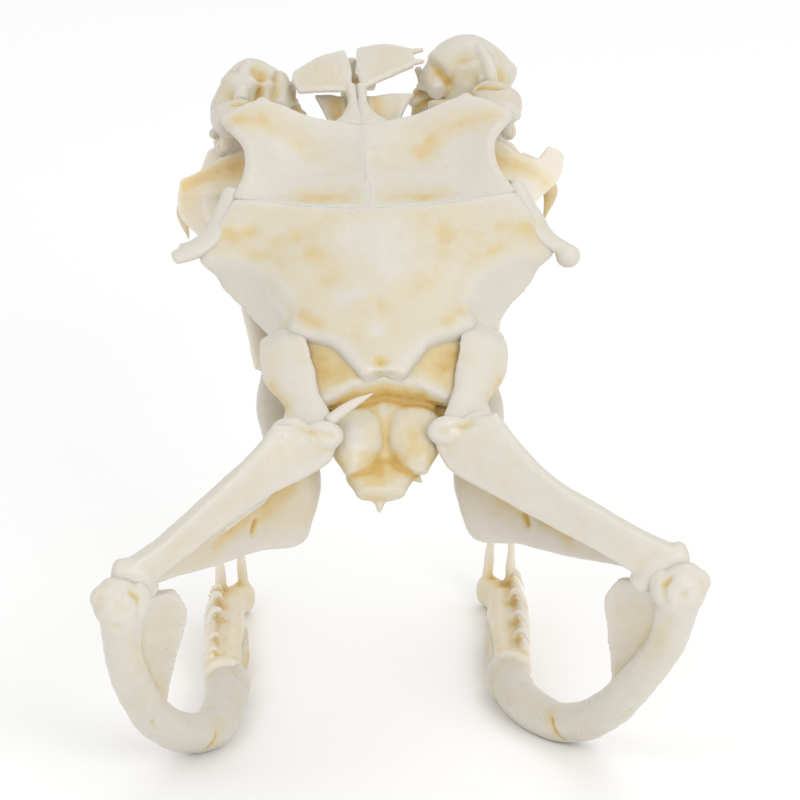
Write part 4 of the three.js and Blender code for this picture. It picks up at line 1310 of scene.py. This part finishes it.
@dataclass
class SnoutSide(SidePart):
    """Nasal, septomaxilla and vomer of one side."""

    def nasal(self) -> Bone:
        """Nasal: a thin wing on a stem that flares where it meets the frontal; the right tip is ragged.

        Returns:
            The bone.
        """
        p = self.head
        if self.side is Side.LEFT:
            rows = [
                [p(0.25, 29.8, 5.2), p(0.15, 32.6, 4.9), p(0.4, 35.2, 4.3)],
                [p(1.9, 29.85, 5.25), p(1.9, 32.4, 5.0), p(1.9, 34.2, 4.6)],
                [p(3.6, 29.9, 5.1), p(3.95, 31.2, 5.0), p(3.8, 32.3, 4.8)],
            ]
            prongs: list[Form] = []
        else:
            rows = [
                [p(0.3, 30.0, 5.2), p(0.15, 32.6, 4.9), p(0.35, 35.4, 4.25)],
                [p(1.9, 31.1, 5.25), p(1.9, 33.2, 5.0), p(1.9, 35.4, 4.5)],
                [p(3.5, 32.5, 5.0), p(3.6, 33.4, 4.9), p(3.5, 34.5, 4.8)],
            ]
            prongs = [
                rod([p(3.2, 34.2, 4.8), p(4.15, 34.55, 4.75)], [0.35, 0.14], [0.2, 0.14]),
                rod([p(3.2, 33.0, 4.9), p(4.1, 33.15, 4.9)], [0.45, 0.16], [0.2, 0.14]),
            ]
        stem = rod([p(0.75, 25.4, 5.9), p(0.5, 26.4, 5.7), p(0.32, 27.9, 5.35), p(0.3, 30.4, 5.05)],
                   [1.1, 0.6, 0.33, 0.33], [0.3, 0.4, 0.4, 0.35])
        marks = [
            Mark((p(0.6, 30.6, 5.2), p(1.2, 34.8, 4.5)), 0.5, 0.0, stain=-0.2),
            Mark((p(0.7, 29.0, 5.3), p(0.8, 26.6, 5.6)), 0.5, 0.05, stain=0.25),
        ]
        forms = [sheet(rows, 0.36), stem, *prongs]
        return Bone(self.named("nasal"), forms, marks, THIN_BONE, voxel=0.09, rounds=3, wave=0.025)

    def septomaxilla(self) -> Bone:
        """Septomaxilla: the dished plate beside the nasal stem.

        Returns:
            The bone.
        """
        p = self.head
        reach = 0.72 if self.side is Side.LEFT else 1.0
        rows = [
            [p(0.55, 30.2, 4.5), p(2.0 * reach, 30.8, 4.2), p(3.5 * reach, 31.1, 4.0)],
            [p(0.6, 28.9, 4.4), p(1.9 * reach, 29.2, 3.8), p(2.9 * reach, 30.0, 3.8)],
            [p(0.7, 27.3, 4.3), p(1.7 * reach, 27.7, 4.0), p(2.4 * reach, 28.3, 3.8)],
        ]
        marks = [Mark((p(0.9, 28.6, 4.4), p(1.0, 30.0, 4.4)), 0.7, 0.05, stain=0.45)]
        forms = [sheet(rows, 0.45)]
        return Bone(self.named("septomaxilla"), forms, marks, IVORY_BONE, Slot.STAINED, voxel=0.1)

    def vomer(self) -> Bone:
        """Vomer: the narrow bone under the septomaxilla.

        Returns:
            The bone.
        """
        p = self.head
        path = [p(0.75, 26.2, 3.2), p(0.9, 29.5, 2.6), p(0.8, 32.6, 2.4)]
        forms = [rod(path, [0.45, 0.6, 0.4], [0.6, 0.7, 0.4])]
        return Bone(self.named("vomer"), forms, finish=STAINED_BONE, slot=Slot.STAINED, voxel=0.1)

    def bones(self) -> list[Bone]:
        """All snout bones of this side."""
        return [self.nasal(), self.septomaxilla(), self.vomer()]


@dataclass
class SnoutTip:
    """Premaxilla, the one bone at the tip of the snout."""

    reach: float = 1.3

    def bones(self) -> list[Bone]:
        """Makes the small cross-shaped premaxilla.

        Returns:
            The one bone, in a list.
        """
        forms = [
            rod([skull(-self.reach, 34.6, 2.2), skull(0, 35.0, 2.1), skull(self.reach, 34.6, 2.2)],
                [0.35, 0.5, 0.35], [0.4, 0.5, 0.4]),
            rod([skull(0, 35.0, 2.2), skull(0, 34.8, 3.2), skull(0, 34.2, 4.2)], [0.4, 0.3, 0.3],
                [0.4, 0.35, 0.3], lie=(0, 1, 0)),
            rod([skull(0, 34.9, 2.1), skull(0, 32.4, 1.9)], [0.5, 0.9], [0.35, 0.3]),
        ]
        return [Bone("premaxilla", forms, finish=STAINED_BONE, slot=Slot.STAINED, voxel=0.1)]


@dataclass
class JawHanger(SidePart):
    """Quadrate and stapes of one side: the strut between the braincase and the lower jaw."""

    def quadrate(self) -> Bone:
        """Quadrate: a flat bar that spreads to a wide head, drawn between its upper and its lower edge.

        Returns:
            The bone.
        """
        w = self.floor
        if self.side is Side.LEFT:
            upper = [w(6.6, -6.3, 22.7), w(7.5, -7.2, 21.9), w(9.0, -8.5, 20.8), w(11.2, -10.0, 19.3),
                     w(13.2, -11.4, 18.0), w(15.2, -12.4, 17.1)]
            lower = [w(2.9, -5.4, 22.1), w(3.5, -5.9, 20.6), w(6.4, -7.2, 19.5), w(9.2, -8.7, 18.3),
                     w(11.7, -10.4, 17.0), w(13.8, -11.8, 15.8)]
        else:
            upper = [w(5.8, -6.2, 23.1), w(7.0, -7.4, 21.7), w(8.6, -9.0, 20.3), w(11.1, -10.7, 19.1),
                     w(13.2, -11.8, 18.1), w(15.3, -12.5, 17.3)]
            lower = [w(2.2, -5.3, 21.9), w(3.1, -6.0, 20.1), w(5.9, -7.7, 18.8), w(9.0, -9.5, 17.5),
                     w(11.3, -10.9, 16.6), w(13.3, -11.9, 15.5)]
        middle = [(a + b) / 2 + np.array([0, -0.12, 0.05]) for a, b in zip(upper, lower)]
        head = (upper[0] + lower[0]) / 2
        forms = [
            sheet(list(zip(upper, middle, lower)), 1.1, down=90, rim=0.55),
            lump(head + w(-0.9, -0.25, -0.45), (1.2, 0.6, 0.9)),
            lump(head + w(0.9, 0.0, -0.2), (1.1, 0.6, 0.8)),
            rod([upper[-1] + w(0.2, 0.2, -0.5), (upper[-1] + lower[-1]) / 2, lower[-1] + w(-0.1, 0.1, -0.5)],
                [0.75, 0.85, 0.6], [0.8, 0.95, 0.7]),
        ]
        marks = [
            Mark((head + w(1.5, -0.5, -0.4), head + w(0.3, -0.6, 0.1), head + w(-1.3, -0.7, -0.3)), 0.28,
                 0.14, stain=0.22),
            Mark((middle[2] + w(0, -0.5, 0), middle[4] + w(0, -0.5, 0)), 0.6, 0.08),
            Mark((lower[1] + w(0, -0.5, 0), lower[2] + w(0, -0.5, 0.2)), 0.35, -0.08, stain=-0.1),
        ]
        return Bone(self.named("quadrate"), forms, marks, PALE_BONE, rounds=6)

    def stapes(self) -> Bone:
        """Stapes: a thin spike; the left one has slipped up over the occiput.

        Returns:
            The bone.
        """
        if self.side is Side.LEFT:
            path = [skull(-3.2, 1.5, 3.5), skull(-2.2, 1.9, 4.1), skull(-0.6, 2.4, 4.7)]
            sizes = [0.36, 0.28, 0.05]
        else:
            path = [skull(4.0, 4.4, 1.2), skull(4.3, 2.6, 0.9), skull(4.7, 1.3, 0.8)]
            sizes = [0.45, 0.28, 0.25]
        forms = [rod(path, sizes, sizes)]
        return Bone(self.named("stapes"), forms, finish=PALE_BONE, voxel=0.09, rounds=2, wave=0.015)

    def bones(self) -> list[Bone]:
        """Both bones of this side."""
        return [self.quadrate(), self.stapes()]


@dataclass
class LowerJaw(SidePart):
    """Compound bone, splenial and toothed dentary of one side.

    The centre lines on the floor lie lower than half the thickness, so that the undersides are flats.
    Both jaws shift a little to the left of the animal up to where the lean begins, and lean to its right
    from there on. The right jaw bows less. The rear face of the joint end carries small random bumps.
    """

    half_thick: float = 1.15
    floor_sink: float = 0.12
    lean_start: float = 0.6
    lean_turn: float = -0.053
    lean_from: float = 6.0
    right_bow: float = 0.5
    face_bumps: int = 22
    bump_depth: float = 0.1
    bump_stain: float = 0.1

    def jaw(self, x: float, y: float, z: float) -> np.ndarray:
        """Gives a point of this lower jaw over the floor.

        Formula: the sideways shift eases in up to where the lean begins, and then changes evenly.

        Args:
            x: Distance from the middle, in mm.
            y: Distance ahead of the rear bend.
            z: Height over the floor.

        Returns:
            The point in mm.
        """
        share = min(max(y / self.lean_from, 0.0), 1.0)
        first = self.lean_start * share * share * (3 - 2 * share)
        lean = first + self.lean_turn * max(0.0, y - self.lean_from)
        return np.array([self.side.value * x - lean, y, z])

    def compound(self) -> Bone:
        """Compound bone: knobbed joint end, shaft down to the floor and forward, and a leaf-shaped crest.

        Returns:
            The bone.
        """
        p, s, low = self.jaw, self.side.value, self.half_thick - self.floor_sink
        bow = 0.0 if self.side is Side.LEFT else self.right_bow
        forms = [
            rod([p(15.3, -13.0, 14.6), p(15.1 - bow / 3, -10.6, 11.0), p(14.4 - bow, -6.9, 7.2),
                 p(13.2 - bow, -3.4, 3.9), p(11.6 - bow / 2, -0.5, 1.8), p(9.9, 1.6, low),
                 p(8.7, 4.6, low + 0.25), p(8.55, 8.0, low + 0.2), p(8.5, 9.7, low)],
                [1.15, 1.0, 0.98, 1.0, 1.1, self.half_thick, 1.15, 1.1, 0.7],
                [1.2, 1.1, 1.1, 1.15, 1.25, 1.35, 1.3, 1.2, 0.8], lie=(s, 0.15, -0.2), steps=120, around=44),
            lump(p(15.4, -13.0, 15.1), (1.4, 1.2, 1.5)),
            lump(p(16.2, -13.2, 15.5), (0.75, 0.75, 0.8)),
            lump(p(15.5, -13.0, 15.9), (1.0, 0.85, 0.75)),
            lump(p(14.5, -12.9, 15.1), (0.8, 0.8, 1.1)),
            rod([p(14.4, -12.95, 16.1), p(13.95, -12.85, 15.5), p(14.2, -12.8, 14.5)], [0.26, 0.26, 0.3],
                [0.4, 0.4, 0.4]),
            sheet([
                [p(14.6, -12.3, 14.9), p(13.4, -10.9, 14.85), p(12.5, -9.8, 14.6)],
                [p(14.9, -11.9, 13.6), p(13.1, -9.9, 13.5), p(11.7, -9.1, 13.2)],
                [p(14.9, -10.6, 11.4), p(13.3, -8.8, 11.3), p(12.0, -7.7, 10.8)],
                [p(14.5, -8.0, 8.6), p(13.4, -6.6, 8.4), p(12.5, -5.8, 8.2)],
                [p(13.8, -5.4, 5.9), p(13.2, -4.6, 5.6), p(12.8, -4.1, 5.4)],
            ], 0.7, across=40, down=60, rim=0.85),
            rod([p(8.0, 6.0, low), p(7.7, 7.8, low + 0.3), p(7.75, 8.9, low + 0.4)], [0.7, 0.75, 0.5],
                [0.9, 0.85, 0.6]),
        ]
        turns = np.linspace(-2.6, 1.9, 8)
        ring = [p(15.3 + 0.8 * math.cos(a), -14.2, 15.1 + 0.8 * math.sin(a)) for a in turns]
        marks = [
            Mark((p(14.7, -13.8, 16.3), p(14.3, -13.6, 15.6), p(14.5, -13.6, 14.8)), 0.2, 0.16, stain=0.4),
            Mark((p(15.3, -14.3, 15.2),), 0.5, 0.12, stain=0.1),
            Mark(ring, 0.3, -0.1, stain=-0.2),
            Mark((p(16.5, -13.9, 15.9), p(16.7, -13.8, 15.2)), 0.35, 0.12, stain=0.2),
            Mark((p(15.6, -14.1, 14.2), p(15.3, -14.2, 13.9)), 0.35, 0.12, stain=0.15),
            Mark((p(14.6, -13.3, 13.3), p(14.3, -10.4, 10.2)), 0.6, 0.12, stain=0.22),
            Mark((p(9.5, 0.3, 2.3), p(9.9, -0.3, 1.4), p(10.1, -0.2, 0.6)), 0.55, 0.04, stain=0.36),
            Mark((p(9.2, 0.3, 2.6), p(9.7, -0.3, 1.8), p(9.9, -0.5, 1.2), p(10.5, -0.5, 0.6)), 0.13, 0.1,
                 stain=0.5),
            Mark((p(13.6, -6.0, 5.0), p(13.5, -5.6, 4.4), p(13.2, -5.2, 4.0)), 0.12, 0.1, stain=0.45),
            Mark((p(8.4, 7.3, 2.6), p(9.4, 6.9, 2.3)), 0.25, 0.12, stain=0.3),
        ]
        chance = np.random.default_rng(11 + s)
        for across, rise, bump, stain in chance.uniform(-1.0, 1.0, (self.face_bumps, 4)):
            spot = p(15.35 + 0.95 * across, -14.1, 15.1 + rise)
            marks.append(Mark((spot,), 0.22, self.bump_depth * bump, stain=self.bump_stain * stain))
        return Bone(self.named("compound"), forms, marks, PALE_BONE, rounds=14, wave=0.045)

    def splenial(self) -> Bone:
        """Splenial: the thin splint along the inner side of the dentary.

        Returns:
            The bone.
        """
        p = self.jaw
        path = [p(7.6, 9.2, 1.3), p(7.45, 12.0, 1.2), p(7.5, 16.0, 1.1)]
        forms = [rod(path, [0.3, 0.33, 0.25], [0.5, 0.6, 0.4])]
        marks = [Mark((p(7.0, 9.6, 1.8), p(7.0, 15.0, 1.7)), 0.6, 0.0, stain=0.3)]
        return Bone(self.named("splenial"), forms, marks, STAINED_BONE, Slot.STAINED, voxel=0.1)

    def dentary(self) -> Bone:
        """Dentary: shallow trough with slender recurved teeth, empty sockets and two long foremost teeth.

        Returns:
            The bone.
        """
        p, low = self.jaw, self.half_thick - self.floor_sink
        forms = [
            rod([p(8.6, 9.0, low + 0.1), p(8.6, 13.0, low + 0.1), p(8.6, 17.0, low + 0.1), p(8.5, 20.2, low),
                 p(7.6, 21.9, low)], [1.2, 1.2, 1.2, 1.1, 0.8], [1.1, 1.1, 1.1, 1.1, 1.0], steps=80,
                square=0.2),
            rod([p(9.4, 9.6, 1.9), p(9.5, 13.0, 2.0), p(9.5, 17.0, 2.0), p(9.2, 20.4, 1.9)],
                [0.35, 0.4, 0.4, 0.35], [0.5, 0.6, 0.6, 0.5]),
        ]
        if self.side is Side.LEFT:
            row = ((9.8, 0.5), (11.4, 0.9), (14.2, 1.6), (16.6, 1.6), (19.2, 0.8))
        else:
            row = ((10.2, 1.2), (12.6, 1.5), (15.8, 1.6), (19.0, 1.6))
        for y, tall in row:
            forms.append(tooth(p(8.8, y + tall * 0.9, 1.9), p(9.2, y + tall * 0.3, 2.3 + tall * 0.6),
                               p(9.75, y - tall * 1.2, 2.3 + tall * 0.35), 0.17 + 0.09 * tall))
        forms.append(tooth(p(8.9, 20.8, 1.5), p(9.05, 21.0, 3.4), p(9.0, 20.6, 5.9), 0.44))
        forms.append(tooth(p(7.6, 21.7, 1.4), p(7.75, 21.9, 3.4), p(7.9, 21.5, 5.9), 0.42))
        sockets = [Mark((p(8.55, y, 2.4),), 0.2, 0.2, stain=0.3) for y in (10.4, 12.8, 15.2, 17.9)]
        marks = [
            Mark((p(8.6, 10.0, 2.4), p(8.6, 20.0, 2.4)), 0.5, 0.12),
            Mark((p(7.75, 9.6, 2.2), p(7.75, 18.0, 2.0)), 0.35, 0.05, stain=0.2),
            Mark((p(8.6, 19.2, 2.4), p(8.2, 20.8, 2.4)), 0.5, 0.0, stain=0.2),
            Mark((p(8.2, 20.4, 2.4), p(8.0, 21.2, 2.2)), 0.6, 0.1, stain=0.2),
            *sockets,
            Mark((p(8.9, 20.7, 4.6), p(9.0, 20.6, 5.9)), 0.6, 0.0, stain=-0.4),
            Mark((p(7.8, 21.7, 4.6), p(7.9, 21.5, 5.9)), 0.6, 0.0, stain=-0.4),
        ]
        # Painted light: the brighter copy of the bone colours offsets the shade the dentary sits in between
        # the jaws.
        return Bone(self.named("dentary"), forms, marks, SHADE_LIFTED_BONE, voxel=0.09, rounds=2, wave=0.04)

    def bones(self) -> list[Bone]:
        """All lower jaw bones of this side."""
        return [self.compound(), self.splenial(), self.dentary()]


@dataclass(frozen=True)
class SoftLight:
    """Square light: its name, where it hangs in metres, the length of its sides in metres, and its watts."""

    name: str
    place: tuple[float, float, float]
    size: float
    watts: float


@dataclass
class Studio:
    """Pale floor, soft lights and the camera."""

    lights: tuple[SoftLight, ...] = (
        SoftLight("key", (0.12, 0.10, 0.34), 0.22, 0.14),
        SoftLight("fill", (-0.16, -0.20, 0.26), 0.14, 0.12),
        SoftLight("front", (0.10, -0.26, 0.16), 0.12, 0.25),
    )
    floor_half: float = 1.5
    floor_grey: float = 0.97
    floor_roughness: float = 0.7
    room_light: float = 0.87
    target: tuple[float, float, float] = (0.00155, 0.003815, 0.0181)
    azimuth: float = math.radians(-4.0)
    elevation: float = math.radians(20.0)
    distance: float = 0.28
    lens: float = 214.2
    sensor: float = 36.0

    def build(self) -> None:
        """Makes the floor, the lights, the surroundings and the camera."""
        scene = bpy.context.scene
        scene.view_settings.view_transform = "Standard"
        self._floor()
        self._surroundings(scene)
        for light in self.lights:
            self._light(light)
        self._camera(scene)

    def _floor(self) -> None:
        """Lays a wide pale floor."""
        half, grey = self.floor_half, self.floor_grey
        mesh = bpy.data.meshes.new("floor")
        corners = [(-half, -half, 0), (half, -half, 0), (half, half, 0), (-half, half, 0)]
        mesh.from_pydata(corners, [], [(0, 1, 2, 3)])
        floor = bpy.data.objects.new("floor", mesh)
        bpy.context.scene.collection.objects.link(floor)
        material = bpy.data.materials.new("pale floor")
        material.use_nodes = True
        surface = material.node_tree.nodes["Principled BSDF"]
        surface.inputs["Base Color"].default_value = (grey, grey, grey, 1.0)
        surface.inputs["Roughness"].default_value = self.floor_roughness
        mesh.materials.append(material)

    def _surroundings(self, scene: bpy.types.Scene) -> None:
        """Surrounds the scene with even white light.

        Args:
            scene: The scene.
        """
        world = bpy.data.worlds.new("white room")
        world.use_nodes = True
        background = world.node_tree.nodes["Background"]
        background.inputs["Color"].default_value = (1.0, 1.0, 1.0, 1.0)
        background.inputs["Strength"].default_value = self.room_light
        scene.world = world

    def _light(self, light: SoftLight) -> None:
        """Hangs a light so that it faces the middle of the skull.

        Args:
            light: The light.
        """
        data = bpy.data.lights.new(light.name, "AREA")
        data.size = light.size
        data.energy = light.watts
        lamp = bpy.data.objects.new(light.name, data)
        bpy.context.scene.collection.objects.link(lamp)
        self._aim(lamp, np.array(light.place))

    def _camera(self, scene: bpy.types.Scene) -> None:
        """Sets the camera behind and above the skull, at the photo's angle.

        Args:
            scene: The scene.
        """
        data = bpy.data.cameras.new("camera")
        data.lens = self.lens
        data.sensor_width = self.sensor
        data.sensor_fit = "HORIZONTAL"
        data.clip_start = 0.01
        camera = bpy.data.objects.new("camera", data)
        scene.collection.objects.link(camera)
        level = math.cos(self.elevation)
        away = np.array([
            math.sin(self.azimuth) * level, -math.cos(self.azimuth) * level, math.sin(self.elevation)
        ])
        self._aim(camera, np.array(self.target) + self.distance * away)
        scene.camera = camera

    def _aim(self, thing: bpy.types.Object, place: np.ndarray) -> None:
        """Puts a light or camera at a place and turns its -Z axis towards the target.

        Args:
            thing: The light or camera.
            place: Where it goes, in metres.
        """
        back = unit(place - np.array(self.target))
        right = unit(np.cross((0.0, 0.0, 1.0), back))
        up = np.cross(back, right)
        matrix = np.eye(4)
        matrix[:3, 0], matrix[:3, 1], matrix[:3, 2], matrix[:3, 3] = right, up, back, place
        thing.matrix_world = Matrix(matrix.tolist())


def main() -> None:
    """Builds the studio and every bone, and reports each piece."""
    logging.basicConfig(level=logging.INFO, format="%(name)s: %(message)s")
    Studio().build()
    workshop = Workshop()
    groups = [Braincase(), SnoutTip()]
    for side in Side:
        groups += [RoofSide(side), SnoutSide(side), UpperJaw(side), JawHanger(side), LowerJaw(side)]
    for group in groups:
        for bone in group.bones():
            workshop.make(bone)
    log.info("%d bones built", workshop.made)


if __name__ == "__main__":
    main()
